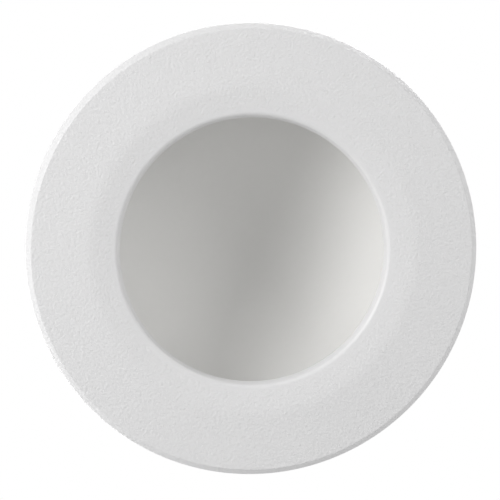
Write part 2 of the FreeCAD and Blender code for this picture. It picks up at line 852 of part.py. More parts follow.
for x, y in BOARD_SCREWS:
    draw_circle(stands, x, y, "board_post_radius")
pad(case, stands, "board_post_height + case_wall / 2")
rests = new_sketch(case, "XY_Plane", "plate_top + case_wall / 2")
for x, y in CLAMP_SCREWS:
    draw_circle(rests, x, y, "clamp_post_radius")
pad(case, rests, "clamp_level - case_floor + case_wall / 2")
ears = new_sketch(case, "YZ_Plane")
draw_loop(
    ears,
    [
        ("0 - case_half_length + case_wall / 2", "lid_axis_z - 2 * lid_knuckle"),
        ("lid_axis_y + lid_knuckle", "lid_axis_z - 2 * lid_knuckle"),
        ("lid_axis_y - lid_knuckle", "lid_axis_z - lid_knuckle"),
        ("lid_axis_y - lid_knuckle", "lid_axis_z"),
        ("lid_axis_y - lid_knuckle / 2", "lid_axis_z + lid_knuckle"),
        ("lid_axis_y + lid_knuckle / 2", "lid_axis_z + lid_knuckle"),
        ("lid_axis_y + lid_knuckle", "lid_axis_z"),
        ("lid_axis_y + lid_knuckle", "case_top"),
        ("0 - case_half_length + case_wall / 2", "case_top"),
    ],
)
pad(case, ears, "2 * ear_outer", symmetric=True)
knuckle_room = new_sketch(case, "YZ_Plane")
draw_box(
    knuckle_room,
    "lid_axis_y - lid_knuckle - overrun",
    "lid_axis_z - 2 * lid_knuckle - overrun",
    "0 - case_half_length",
    "lid_axis_z + lid_knuckle + overrun",
)
pocket(case, knuckle_room, "2 * ear_inner", symmetric=True)
pin_bore = new_sketch(case, "YZ_Plane")
draw_circle(pin_bore, "lid_axis_y", "lid_axis_z", "lid_pin_radius + running_gap")
pocket(case, pin_bore, "2 * ear_outer + 2 * overrun", symmetric=True)
round_holes(case, COVER_SCREWS, "screw_radius + thread_gap", "case_top", "cover_screw_grip + blind_gap")
round_holes(
    case, BOARD_SCREWS, "board_screw_radius + thread_gap", "driver_board_level", "board_screw_grip + blind_gap"
)
round_holes(case, CLAMP_SCREWS, "screw_radius + thread_gap", "clamp_level", "clamp_screw_grip + blind_gap")
round_holes(case, CASE_SCREWS, "screw_radius + screw_hole_gap", "case_floor", "case_wall")
inlet = new_sketch(case, "XZ_Plane", "case_inner_y")
draw_circle(inlet, "0", "inlet_level", "inlet_hole")
pocket(case, inlet, "case_wall", back=True)
outlet = new_sketch(case, "XZ_Plane", "0 - case_inner_y")
draw_circle(outlet, "0", "lead_level", "lead_hole")
pocket(case, outlet, "case_wall")
slots = new_sketch(case, "XZ_Plane", "0 - bay_wall_front")
draw_box(
    slots,
    "0 - terminal_pitch - 2 * wire_radius",
    "wire_level - 2 * wire_radius",
    "terminal_pitch + 2 * wire_radius",
    "wire_level + 2 * wire_radius",
)
pocket(case, slots, "bay_wall", back=True)
screw_set(
    "case_screws", CASE_SCREWS, "screw_radius", "screw_head", "screw_head_height", "case_floor", "case_screw_grip"
)

# Driver board and what stands on it.
driver_board = block(
    "driver_board",
    "0 - driver_board_half",
    "driver_board_back",
    "driver_board_half",
    "driver_board_front",
    "driver_board_level",
    "driver_board_height",
)
round_holes(
    driver_board, BOARD_SCREWS, "board_screw_radius + screw_hole_gap", "driver_board_top", "driver_board_height"
)
screw_set(
    "driver_board_screws",
    BOARD_SCREWS,
    "board_screw_radius",
    "board_screw_head",
    "board_screw_head_height",
    "driver_board_top",
    "(driver_board_height + board_screw_grip)",
)
core = block(
    "transformer",
    "0 - core_half_width",
    "core_back",
    "core_half_width",
    "core_back + core_length",
    "driver_board_top",
    "core_height",
)
winding = new_sketch(core, "XZ_Plane", "0 - core_middle")
draw_circle(winding, "0", "driver_board_top + core_height / 2", "winding_radius - can_round")
pad(core, winding, "core_length + 2 * winding_overhang", symmetric=True)


def can(name, x, y, radius, height):
    body = new_body(name)
    sketch = new_sketch(body, "XY_Plane", "driver_board_top")
    draw_circle(sketch, x, y, radius)
    pad(body, sketch, height)
    top = number(f"driver_board_top + {height}")
    edges = [
        f"Edge{i}"
        for i, edge in enumerate(body.Shape.Edges, start=1)
        if isinstance(edge.Curve, Part.Circle) and abs(edge.Curve.Center.z - top) < SAME_PLACE
    ]
    round_off(body, edges, "can_round")
    return body


can("input_capacitor", "bulk_can_x", "bulk_can_y", "bulk_can_radius", "bulk_can_height")
can("output_capacitor", "small_can_x", "small_can_y", "small_can_radius", "small_can_height")
choke = new_body("emc_choke")
foot = new_sketch(choke, "XY_Plane", "driver_board_top")
draw_circle(foot, "choke_x", "choke_y", "choke_major")
pad(choke, foot, "2 * choke_foot")
hoop = new_sketch(choke, "XY_Plane", "driver_board_top + choke_foot")
draw_circle(hoop, "choke_x", "choke_y", "choke_major + choke_minor")
draw_circle(hoop, "choke_x", "choke_y", "choke_major - choke_minor")
pad(choke, hoop, "2 * choke_minor")
power = new_body("power_chips")
spots = new_sketch(power, "XY_Plane", "driver_board_top")
for middle in ("0 - chip_block_x", "chip_block_x"):
    draw_box(
        spots,
        f"{middle} - chip_block_width / 2",
        "chip_block_y",
        f"{middle} + chip_block_width / 2",
        "chip_block_y + chip_block_length",
    )
pad(power, spots, "chip_block_height")
block(
    "output_plug",
    "0 - output_plug_half",
    "output_plug_back",
    "output_plug_half",
    "output_plug_front",
    "driver_board_top",
    "output_plug_height",
)

# Covers: one screwed over the driver, one hinged over the mains terminals.
cover = block(
    "driver_cover",
    "0 - case_half_width",
    "cover_back",
    "case_half_width",
    "case_half_length",
    "case_top",
    "cover_height",
)
round_holes(cover, COVER_SCREWS, "screw_radius + screw_hole_gap", "lid_top", "cover_height")
cover_corners = [("case_half_width", "case_half_length"), ("0 - case_half_width", "case_half_length")]
round_off(cover, corner_edges(cover, cover_corners), "case_round")
screw_set(
    "cover_screws",
    COVER_SCREWS,
    "screw_radius",
    "screw_head",
    "screw_head_height",
    "lid_top",
    "(cover_height + cover_screw_grip)",
)
lid = new_body("terminal_lid")
plate = new_sketch(lid, "XY_Plane", "case_top")
draw_box(plate, "0 - case_half_width", "0 - case_half_length", "case_half_width", "lid_front")
pad(lid, plate, "cover_height")
lid_corners = [("case_half_width", "0 - case_half_length"), ("0 - case_half_width", "0 - case_half_length")]
round_off(lid, corner_edges(lid, lid_corners), "case_round")
web = new_sketch(lid, "XY_Plane", "case_top")
draw_box(
    web,
    "0 - lid_knuckle_half",
    "lid_axis_y",
    "lid_knuckle_half",
    "0 - case_half_length + case_wall",
)
pad(lid, web, "cover_height")
knuckle = new_sketch(lid, "YZ_Plane")
draw_circle(knuckle, "lid_axis_y", "lid_axis_z", "lid_knuckle")
pad(lid, knuckle, "2 * lid_knuckle_half", symmetric=True)
lip = new_sketch(lid, "XY_Plane", "case_top - lid_lip")
draw_box(
    lip,
    "0 - case_inner_x + cover_gap",
    "bay_wall_place - cover_gap - case_wall",
    "case_inner_x - cover_gap",
    "bay_wall_place - cover_gap",
)
pad(lid, lip, "lid_lip + cover_height / 2")
bore = new_sketch(lid, "YZ_Plane")
draw_circle(bore, "lid_axis_y", "lid_axis_z", "lid_pin_radius + running_gap")
pocket(lid, bore, "2 * lid_knuckle_half + 2 * overrun", symmetric=True)
pin = new_body("lid_pin")
rod = new_sketch(pin, "YZ_Plane")
draw_circle(rod, "lid_axis_y", "lid_axis_z", "lid_pin_radius")
pad(pin, rod, "2 * ear_outer + 2 * lid_pin_head", symmetric=True)

# Mains terminals with a sprung release button over each wire.
terminals = block(
    "terminal_block",
    "0 - terminal_half_width",
    "terminal_back",
    "terminal_half_width",
    "terminal_front",
    "case_floor",
    "terminal_height",
)
COLUMNS = ("0 - terminal_pitch", "0", "terminal_pitch")
wells = new_sketch(terminals, "XY_Plane", "terminal_top")
for column in COLUMNS:
    draw_box(
        wells,
        f"{column} - button_half_clear",
        "button_y - button_half_clear",
        f"{column} + button_half_clear",
        "button_y + button_half_clear",
    )
pocket(terminals, wells, "button_pocket")
entries = new_sketch(terminals, "XZ_Plane", "0 - terminal_back")
for column in COLUMNS:
    draw_circle(entries, column, "wire_hole_level", "wire_hole_radius")
pocket(terminals, entries, "terminal_length * 2 / 3", back=False)
for index, column in enumerate(COLUMNS, start=1):
    block(
        f"release_button_{index}",
        f"{column} - button_half",
        "button_y - button_half",
        f"{column} + button_half",
        "button_y + button_half",
        "button_low",
        "button_height",
    )
inlet_sleeve = new_body("inlet_grommet")
neck = new_sketch(inlet_sleeve, "XZ_Plane", "case_half_length + inlet_lip_height")
draw_circle(neck, "0", "inlet_level", "inlet_hole - grommet_gap")
pad(inlet_sleeve, neck, "case_wall + 2 * inlet_lip_height", back=True)
for lift in ("case_half_length + inlet_lip_height", "case_inner_y"):
    collar = new_sketch(inlet_sleeve, "XZ_Plane", lift)
    draw_circle(collar, "0", "inlet_level", "inlet_hole + inlet_lip")
    pad(inlet_sleeve, collar, "inlet_lip_height", back=True)
way = new_sketch(inlet_sleeve, "XZ_Plane", "case_half_length + inlet_lip_height")
draw_circle(way, "0", "inlet_level", "inlet_radius")
pocket(inlet_sleeve, way, "case_wall + 2 * inlet_lip_height")
clamp = new_body("cable_clamp")
strap = new_sketch(clamp, "XY_Plane", "clamp_level")
draw_box(
    strap,
    "0 - clamp_post_x - clamp_post_radius",
    "clamp_place - clamp_length / 2",
    "clamp_post_x + clamp_post_radius",
    "clamp_place + clamp_length / 2",
)
pad(clamp, strap, "clamp_height")
round_holes(
    clamp, CLAMP_SCREWS, "screw_radius + screw_hole_gap", "clamp_level + clamp_height", "clamp_height"
)
screw_set(
    "clamp_screws",
    CLAMP_SCREWS,
    "screw_radius",
    "screw_head",
    "screw_head_height",
    "clamp_level + clamp_height",
    "(clamp_height + clamp_screw_grip)",
)


def new_feature(name, shape, placement=None):
    feature = doc.addObject("Part::Feature", name)
    feature.Label = name
    feature.Shape = shape
    if placement is not None:
        feature.Placement = placement
    PLACED.append(feature)
    return feature


def rounded_path(points, share):
    """Straight runs joined by tangent arcs, each as large as share of the shorter run allows."""
    edges = []
    last = points[0]
    radii = []
    for before, corner, after in zip(points, points[1:], points[2:]):
        way_in = (corner - before).normalize()
        way_out = (after - corner).normalize()
        turn = way_in.getAngle(way_out)
        reach = share * min((corner - before).Length, (after - corner).Length)
        radii.append(reach / math.tan(turn / 2))
        start = corner - way_in * reach
        end = corner + way_out * reach
        inward = (way_out - way_in).normalize()
        middle = corner + inward * (radii[-1] / math.cos(turn / 2) - radii[-1])
        edges.append(Part.LineSegment(last, start).toShape())
        edges.append(Part.Arc(start, middle, end).toShape())
        last = end
    edges.append(Part.LineSegment(last, points[-1]).toShape())
    return Part.Wire(edges), radii


def tube(path, radius):
    """A solid tube along a wire, its volume compared with its section times its length."""
    start = path.Edges[0].valueAt(path.Edges[0].FirstParameter)
    along = path.Edges[0].tangentAt(path.Edges[0].FirstParameter)
    section = Part.Wire([Part.Circle(start, along, radius).toShape()])
    solid = path.makePipeShell([section], True, False)
    expected = math.pi * radius * radius * path.Length
    print(f"  tube: volume {solid.Volume:.3f}, section times length {expected:.3f}")
    return solid


BEND_SHARE = 0.45

# The lead that the light holds all the way, from the plug on the light ring through the rims and up
# between two fins into the driver case.
lead_points = [
    V(0, number("lead_out"), number("lead_start")),
    V(0, number("lead_out"), number("lead_knee")),
    V(0, number("lead_bend_out"), number("lead_bend")),
    V(0, number("lead_turn_out"), number("lead_level")),
    V(0, number("output_plug_front"), number("lead_level")),
]
lead_path, lead_radii = rounded_path(lead_points, BEND_SHARE)
print("led_lead bend radii:", [round(r, 1) for r in lead_radii])
new_feature("led_lead", tube(lead_path, number("lead_radius")))
for column, name in zip(COLUMNS, ("live_wire", "neutral_wire", "earth_wire")):
    out = number(column)
    wire_points = [
        V(out, number("terminal_front"), number("wire_level")),
        V(out, number("wire_end"), number("wire_level")),
        V(out, number("wire_end"), number("driver_board_top")),
    ]
    wire_path, wire_radii = rounded_path(wire_points, BEND_SHARE)
    print(f"{name} bend radius:", [round(r, 1) for r in wire_radii])
    new_feature(name, tube(wire_path, number("wire_radius")))

rim_sleeve = new_body("rim_grommet")
lower = new_sketch(rim_sleeve, "XY_Plane", "flange_back")
draw_circle(lower, "0", "lead_out", "lead_hole - grommet_gap")
draw_circle(lower, "0", "lead_out", "lead_sleeve")
pad(rim_sleeve, lower, "rim_top - flange_back")
upper = new_sketch(rim_sleeve, "XY_Plane", "rim_top")
draw_circle(upper, "0", "lead_out", "lead_lip")
draw_circle(upper, "0", "lead_out", "lead_sleeve")
pad(rim_sleeve, upper, "grommet_lip_height")
case_sleeve = new_body("case_grommet")
inside = new_sketch(case_sleeve, "XZ_Plane", "0 - case_inner_y")
draw_circle(inside, "0", "lead_level", "lead_hole - grommet_gap")
draw_circle(inside, "0", "lead_level", "lead_sleeve")
pad(case_sleeve, inside, "case_wall", back=True)
outside = new_sketch(case_sleeve, "XZ_Plane", "0 - case_half_length")
draw_circle(outside, "0", "lead_level", "lead_lip")
draw_circle(outside, "0", "lead_level", "lead_sleeve")
pad(case_sleeve, outside, "grommet_lip_height", back=True)


def arc_from(first, along, second):
    """The arc that leaves first in the direction along and ends at second."""
    chord = second - first
    inward = along.cross(chord).cross(along).normalize()
    bow = chord.dot(chord) / (2 * chord.dot(inward))
    centre = first + inward * bow
    middle = centre + ((first + second) / 2 - centre).normalize() * bow
    return Part.Arc(first, middle, second).toShape()


def coil_edges(radius, rate, start, angle, way_in, way_out):
    """Biarcs along a coil about the Y axis, each over about a quarter turn, between two legs."""
    count = round(angle / (math.pi / 2))
    step = angle / count

    def spot(a):
        return V(radius * math.cos(start + a), rate * a, radius * math.sin(start + a))

    def way(a):
        return V(-radius * math.sin(start + a), rate, radius * math.cos(start + a)).normalize()

    edges = []
    for k in range(count):
        p, q = spot(k * step), spot((k + 1) * step)
        leave = way_in if k == 0 else way(k * step)
        arrive = way_out if k == count - 1 else way((k + 1) * step)
        gap, both = q - p, leave + arrive
        bend = 2 * (1 - leave.dot(arrive))
        reach = (-gap.dot(both) + math.sqrt(gap.dot(both) ** 2 + bend * gap.dot(gap))) / bend
        knee, hip = p + leave * reach, q - arrive * reach
        joint = (knee + hip) / 2
        edges.append(arc_from(p, leave, joint))
        edges.append(arc_from(joint, (hip - knee).normalize(), q))
    return edges


def least_gap(path, wire_radius, apart):
    """Least clear distance between points of a wire that lie more than apart along it."""
    spots = path.discretize(Distance=wire_radius)
    step = path.Length / (len(spots) - 1)
    skip = int(apart / step) + 1
    nearest = min(
        (spots[i] - spots[j]).Length for i in range(len(spots)) for j in range(i + skip, len(spots))
    )
    return nearest - 2 * wire_radius


# Ceiling clips. Each has a bracket on a pad of the housing, a pin, a torsion spring, and an arm with
# a soft foot, which lies at arm_angle below level. The second is the first turned half round.
lean = math.radians(number("arm_angle"))
coil_radius, coil_wire, coil_half = number("coil_radius"), number("coil_wire"), number("coil_half")
coil_sweep = 2 * math.pi * number("coil_turns") + math.pi / 2 - lean
down, along_arm = V(0, 0, -1), V(math.cos(lean), 0, -math.sin(lean))
coil_rate = 2 * coil_half / coil_sweep
coil = coil_edges(coil_radius, coil_rate, math.pi, coil_sweep, down, along_arm)
coil_start = V(-coil_radius, 0, 0)
coil_end = V(-coil_radius * math.sin(lean), 2 * coil_half, -coil_radius * math.cos(lean))
coil_path = Part.Wire(
    [Part.LineSegment(coil_start - down * number("coil_leg_up"), coil_start).toShape()]
    + coil
    + [Part.LineSegment(coil_end, coil_end + along_arm * number("coil_leg_out")).toShape()]
)
coil_gap = least_gap(coil_path, coil_wire, math.pi * coil_radius)
print(f"clip spring: least gap between turns {coil_gap:.2f} mm")
spring_solid = tube(coil_path, coil_wire)
spring_place = FreeCAD.Placement(
    V(number("clip_axis_x"), -coil_half, number("clip_axis_z")), FreeCAD.Rotation()
)


def place_arm(body, turned):
    """Sets an arm's piece from its own frame to the rest position on the clip's axis."""
    tilt = FreeCAD.Rotation(V(0, 1, 0), number("arm_angle"))
    hinge = V(number("clip_axis_x"), 0, number("clip_axis_z"))
    body.Placement = turned.multiply(FreeCAD.Placement(hinge, tilt))


for index, angle in enumerate((0, 180), start=1):
    turned = FreeCAD.Placement(V(), FreeCAD.Rotation(AXIS_Z, angle))
    bracket = new_body(f"clip_{index}_bracket")
    wall = new_sketch(bracket, "YZ_Plane", "clip_pad_face")
    draw_box(wall, "0 - clip_pad_half", "bracket_low", "clip_pad_half", "clip_pad_high")
    pad(bracket, wall, "sheet")
    ears = new_sketch(bracket, "XZ_Plane")
    draw_loop(
        ears,
        [
            ("clip_pad_face", "bracket_low"),
            ("clip_axis_x", "bracket_low"),
            ("ear_reach", "clip_axis_z - 2 * clip_pin_radius"),
            ("ear_reach", "clip_axis_z + 2 * clip_pin_radius"),
            ("clip_axis_x", "ear_high"),
            ("clip_pad_face", "ear_high"),
        ],
    )
    pad(bracket, ears, "2 * clip_pad_half", symmetric=True)
    room = new_sketch(bracket, "XZ_Plane")
    draw_box(room, "bracket_face", "bracket_low - overrun", "ear_reach + overrun", "ear_high + overrun")
    pocket(bracket, room, "2 * ear_inner_half", symmetric=True)
    pivot = new_sketch(bracket, "XZ_Plane")
    draw_circle(pivot, "clip_axis_x", "clip_axis_z", "clip_pin_radius + running_gap")
    pocket(bracket, pivot, "2 * clip_pad_half + 2 * overrun", symmetric=True)
    holes = new_sketch(bracket, "YZ_Plane", "bracket_face")
    for level in ("clip_screw_low", "clip_screw_high"):
        draw_circle(holes, "0", level, "screw_radius + screw_hole_gap")
    pocket(bracket, holes, "sheet")
    bracket.Placement = turned

    pin = new_body(f"clip_{index}_pin")
    rod = new_sketch(pin, "XZ_Plane")
    draw_circle(rod, "clip_axis_x", "clip_axis_z", "clip_pin_radius")
    pad(pin, rod, "2 * clip_pad_half + 2 * clip_pin_over", symmetric=True)
    pin.Placement = turned

    screws = new_body(f"clip_{index}_screws")
    shank = new_sketch(screws, "YZ_Plane", "clip_pad_face - clip_screw_grip")
    head = new_sketch(screws, "YZ_Plane", "bracket_face")
    socket = new_sketch(screws, "YZ_Plane", "bracket_face + clip_screw_head_height")
    for level in ("clip_screw_low", "clip_screw_high"):
        draw_circle(shank, "0", level, "screw_radius")
        draw_circle(head, "0", level, "clip_screw_head")
        draw_hexagon(socket, "0", level, "hex_radius")
    pad(screws, shank, "clip_screw_grip + sheet")
    pad(screws, head, "clip_screw_head_height")
    pocket(screws, socket, "clip_screw_head_height * hex_depth / screw_head_height")
    screws.Placement = turned

    arm = new_body(f"clip_{index}_arm")
    lugs = new_sketch(arm, "XZ_Plane")
    draw_circle(lugs, "0", "0", "arm_lug")
    pad(arm, lugs, "2 * lug_outer", symmetric=True)
    cheeks = new_sketch(arm, "XZ_Plane")
    draw_loop(
        cheeks,
        [
            ("0 - arm_lug", "0"),
            ("arm_start", "web_low"),
            ("arm_bend", "web_low"),
            ("arm_bend", "web_top"),
            ("arm_lug", "0"),
        ],
    )
    pad(arm, cheeks, "2 * lug_outer", symmetric=True)
    room = new_sketch(arm, "XZ_Plane")
    draw_box(room, "0 - arm_lug - overrun", "web_top", "arm_bend + overrun", "arm_lug + overrun")
    pocket(arm, room, "2 * lug_inner", symmetric=True)
    blade = new_sketch(arm, "XZ_Plane")
    draw_loop(
        blade,
        [
            ("arm_bend", "web_low"),
            ("arm_length", "0 - sheet / 2"),
            ("arm_length", "sheet / 2"),
            ("arm_bend", "web_top"),
        ],
    )
    pad(arm, blade, "2 * lug_outer", symmetric=True)
    bore = new_sketch(arm, "XZ_Plane")
    draw_circle(bore, "0", "0", "clip_pin_radius + running_gap")
    pocket(arm, bore, "2 * lug_outer + 2 * overrun", symmetric=True)
    place_arm(arm, turned)

    foot = new_body(f"clip_{index}_foot")
    sleeve = new_sketch(foot, "XZ_Plane")
    draw_circle(sleeve, "arm_length - foot_set", "0", "foot_radius")
    pad(foot, sleeve, "2 * lug_outer + 2 * foot_over", symmetric=True)
    slot = new_sketch(foot, "XZ_Plane")
    draw_loop(
        slot,
        [
            ("arm_bend", "web_low"),
            ("arm_length", "0 - sheet / 2"),
            ("arm_length", "sheet / 2"),
            ("arm_bend", "web_top"),
        ],
    )
    pocket(foot, slot, "2 * lug_outer", symmetric=True)
    place_arm(foot, turned)
    new_feature(f"clip_{index}_spring", spring_solid.copy(), turned.multiply(spring_place))

doc.recompute()
for item in doc.Objects:
    if "Invalid" in item.State or "Error" in item.State:
        raise ValueError(f"{item.Label} failed: {item.State}")
for piece in PLACED:
    if piece.Shape.isNull() or not piece.Shape.isValid():
        raise ValueError(f"{piece.Label} has no valid shape")

os.makedirs("parts", exist_ok=True)
for piece in PLACED:
    piece.Shape.exportStep(f"parts/{piece.Label}.step")
print(f"{len(PLACED)} sub-parts written")
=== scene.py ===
"""The finished look of a recessed downlight, dressed over its construction model.

The trim ring and the dome that the room sees, the clip springs, the cans, the choke and the coil
ends are made here in fine form, from the same sizes as the construction. Every other piece keeps
its constructed shape and gets softened edges and a finish.
"""

import json
import logging
import math
from collections.abc import Mapping, Sequence
from dataclasses import dataclass, field
from enum import Enum
from typing import Any

import bmesh
import bpy
from mathutils import Matrix, Quaternion, Vector


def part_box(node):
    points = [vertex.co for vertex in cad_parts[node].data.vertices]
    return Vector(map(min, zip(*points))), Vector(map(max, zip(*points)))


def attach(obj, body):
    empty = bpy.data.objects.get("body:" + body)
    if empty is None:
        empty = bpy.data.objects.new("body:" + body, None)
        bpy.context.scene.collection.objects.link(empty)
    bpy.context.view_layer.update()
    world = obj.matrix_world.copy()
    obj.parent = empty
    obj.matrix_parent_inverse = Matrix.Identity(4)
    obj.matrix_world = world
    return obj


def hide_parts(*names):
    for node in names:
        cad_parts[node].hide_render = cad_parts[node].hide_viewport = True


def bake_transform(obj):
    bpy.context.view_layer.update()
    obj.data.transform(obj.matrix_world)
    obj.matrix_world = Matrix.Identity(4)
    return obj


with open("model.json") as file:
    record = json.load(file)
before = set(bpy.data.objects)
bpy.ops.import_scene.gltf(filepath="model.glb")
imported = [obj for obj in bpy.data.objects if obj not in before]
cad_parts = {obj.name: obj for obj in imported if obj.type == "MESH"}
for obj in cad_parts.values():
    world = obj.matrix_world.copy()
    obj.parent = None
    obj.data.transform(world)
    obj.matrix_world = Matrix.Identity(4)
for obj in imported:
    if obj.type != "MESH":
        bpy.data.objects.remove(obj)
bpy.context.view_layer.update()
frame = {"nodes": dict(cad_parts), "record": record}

log = logging.getLogger("downlight")

MM = 0.001
CORNER = math.radians(35)
Point = tuple[float, float]
Triple = tuple[float, float, float]
Colour = Triple
Piece = bpy.types.Object
Material = bpy.types.Material


class Signal:
    """A shader socket that takes part in arithmetic, so that patterns are written as formulas."""

    def __init__(self, tree: "NodeTree", socket: bpy.types.NodeSocket) -> None:
        """Keeps the socket and the tree that new nodes go into."""
        self.tree = tree
        self.socket = socket

    def _with(self, operation: str, *values: "Signal | float") -> "Signal":
        """Adds a Math node.

        Args:
            operation: Blender's name of the operation.
            values: Its inputs in order.

        Returns:
            The node's result.
        """
        return self.tree.node("ShaderNodeMath", {"operation": operation}, dict(enumerate(values)))

    def __add__(self, other: "Signal | float") -> "Signal":
        """Sum."""
        return self._with("ADD", self, other)

    __radd__ = __add__

    def __sub__(self, other: "Signal | float") -> "Signal":
        """Difference."""
        return self._with("SUBTRACT", self, other)

    def __rsub__(self, other: "Signal | float") -> "Signal":
        """Difference, with the plain number first."""
        return self._with("SUBTRACT", other, self)

    def __mul__(self, other: "Signal | float") -> "Signal":
        """Product."""
        return self._with("MULTIPLY", self, other)

    __rmul__ = __mul__

    def __truediv__(self, other: "Signal | float") -> "Signal":
        """Quotient."""
        return self._with("DIVIDE", self, other)

    def __rtruediv__(self, other: "Signal | float") -> "Signal":
        """Quotient, with the plain number first."""
        return self._with("DIVIDE", other, self)

    def __gt__(self, other: "Signal | float") -> "Signal":
        """One where this is larger, otherwise zero."""
        return self._with("GREATER_THAN", self, other)

    def __lt__(self, other: "Signal | float") -> "Signal":
        """One where this is smaller, otherwise zero."""
        return self._with("LESS_THAN", self, other)

    def __or__(self, other: "Signal | float") -> "Signal":
        """The larger of the two."""
        return self._with("MAXIMUM", self, other)

    __ror__ = __or__

    def __abs__(self) -> "Signal":
        """Size without sign."""
        return self._with("ABSOLUTE", self)

    def fract(self) -> "Signal":
        """What is left after the whole number."""
        return self._with("FRACT", self)

    def sine(self) -> "Signal":
        """Sine of an angle in radians."""
        return self._with("SINE", self)

    def other(self, output: str) -> "Signal":
        """Another output of the node that this signal comes from."""
        return Signal(self.tree, self.socket.node.outputs[output])


class NodeTree:
    """A shader tree of a material or of the world."""

    def __init__(self, owner: Material | bpy.types.World) -> None:
        """Turns on the owner's nodes.

        Args:
            owner: The material or world.
        """
        owner.use_nodes = True
        self.nodes = owner.node_tree.nodes
        self.links = owner.node_tree.links

    def node(
        self,
        kind: str,
        settings: Mapping[str, Any] | None = None,
        inputs: Mapping[str | int, Any] | None = None,
        output: str | int | None = 0,
    ) -> Signal | None:
        """Adds a node.

        Args:
            kind: Blender's type of node.
            settings: Properties, set before its sockets.
            inputs: Values or signals by socket name or place.
            output: The socket that is handed on, or None at the end of a tree.

        Returns:
            The signal of that output.
        """
        made = self.nodes.new(kind)
        for key, value in (settings or {}).items():
            setattr(made, key, value)
        for key, value in (inputs or {}).items():
            self.feed(made.inputs[key], value)
        return Signal(self, made.outputs[output]) if output is not None else None

    def feed(self, socket: bpy.types.NodeSocket, value: Any) -> None:
        """Links a signal to a socket, or sets a plain value on it.

        Args:
            socket: The input that is fed.
            value: Signal, number, colour or vector.
        """
        if isinstance(value, Signal):
            self.links.new(value.socket, socket)
        elif isinstance(value, tuple) and len(value) == 3 and socket.type == "RGBA":
            socket.default_value = (*value, 1.0)
        else:
            socket.default_value = value

    def light_path(self) -> tuple[Signal, Signal]:
        """Two masks: seen directly by the camera, and seen directly, in gloss or through glass."""
        direct = self.node("ShaderNodeLightPath", output="Is Camera Ray")
        return direct, direct | direct.other("Is Glossy Ray") | direct.other("Is Transmission Ray")

    def choose(self, share: Signal, first: Signal, second: Signal) -> Signal:
        """Mixes two shaders, the second by its share."""
        return self.node("ShaderNodeMixShader", inputs={0: share, 1: first, 2: second})


class Pattern(NodeTree):
    """The node tree of one material, with the patterns that the finishes are made of."""

    def __init__(self, name: str) -> None:
        """Starts a material with only its surface shader.

        Args:
            name: The material's name.
        """
        self.material = bpy.data.materials.new(name)
        super().__init__(self.material)
        self.shader = next(n for n in self.nodes if n.type == "BSDF_PRINCIPLED")

    def place(self) -> Signal:
        """Position on the piece in metres."""
        return self.node("ShaderNodeTexCoord", output="Object")

    def axes(self) -> tuple[Signal, Signal, Signal]:
        """The three parts of the position on the piece."""
        first = self.node("ShaderNodeSeparateXYZ", inputs={0: self.place()}, output="X")
        return first, first.other("Y"), first.other("Z")

    def stretched(self, scale: Triple) -> Signal:
        """Position scaled by different amounts along the three axes."""
        inputs = {0: self.place(), 1: scale}
        return self.node("ShaderNodeVectorMath", {"operation": "MULTIPLY"}, inputs)

    def off_axis(self, near: float, far: float) -> Signal:
        """Fades with the distance from the piece's upright axis.

        Args:
            near: Radius in metres up to which it is 0.
            far: Radius from which it is 1.

        Returns:
            The share from 0 to 1.
        """
        flat = self.stretched((1.0, 1.0, 0.0))
        radius = self.node("ShaderNodeVectorMath", {"operation": "LENGTH"}, {0: flat}, "Value")
        return self.node("ShaderNodeMapRange", {}, {"Value": radius, "From Min": near, "From Max": far})

    def noise(
        self, size: float, detail: float = 2.0, rough: float = 0.5, at: Signal | None = None
    ) -> Signal:
        """Cloudy noise from 0 to 1.

        Args:
            size: Width of a cloud in metres.
            detail: Octaves.
            rough: Weight of the finer octaves.
            at: Position to use in place of the piece's own.

        Returns:
            The noise.
        """
        settings = {"noise_dimensions": "3D"}
        inputs = {"Vector": at or self.place(), "Scale": 1 / size, "Detail": detail, "Roughness": rough}
        return self.node("ShaderNodeTexNoise", settings, inputs, "Fac")

    def cells(self, size: float) -> Signal:
        """Cell pattern, such as the pits of a cast or moulded skin."""
        inputs = {"Vector": self.place(), "Scale": 1 / size}
        return self.node("ShaderNodeTexVoronoi", {"feature": "F1"}, inputs, "Distance")

    def blend(self, share: Signal | float, first: Any, second: Any) -> Signal:
        """Mixes two colours.

        Args:
            share: How much of the second colour, from 0 to 1.
            first: Colour or signal where share is 0.
            second: Colour or signal where share is 1.

        Returns:
            The mixed colour.
        """
        return self.node("ShaderNodeMix", {"data_type": "RGBA"}, {0: share, 6: first, 7: second}, 2)

    def between(self, value: Signal, low: float, high: float) -> Signal:
        """Spreads a 0 to 1 signal over a range."""
        return value * (high - low) + low

    def relief(self, height: Signal, depth: float, under: Signal | None = None) -> Signal:
        """Surface relief.

        Args:
            height: The relief from 0 to 1.
            depth: Its full depth in metres.
            under: Coarser relief that it lies on.

        Returns:
            The bent normal.
        """
        inputs = {"Height": height, "Strength": 1.0, "Distance": depth}
        if under is not None:
            inputs["Normal"] = under
        return self.node("ShaderNodeBump", {}, inputs)

    def finish(self, **sockets: Any) -> Material:
        """Sets the surface shader's sockets.

        Args:
            sockets: Values or signals, by socket name in words joined by underscores.

        Returns:
            The material.
        """
        for words, value in sockets.items():
            self.feed(self.shader.inputs[words.replace("_", " ").title()], value)
        return self.material


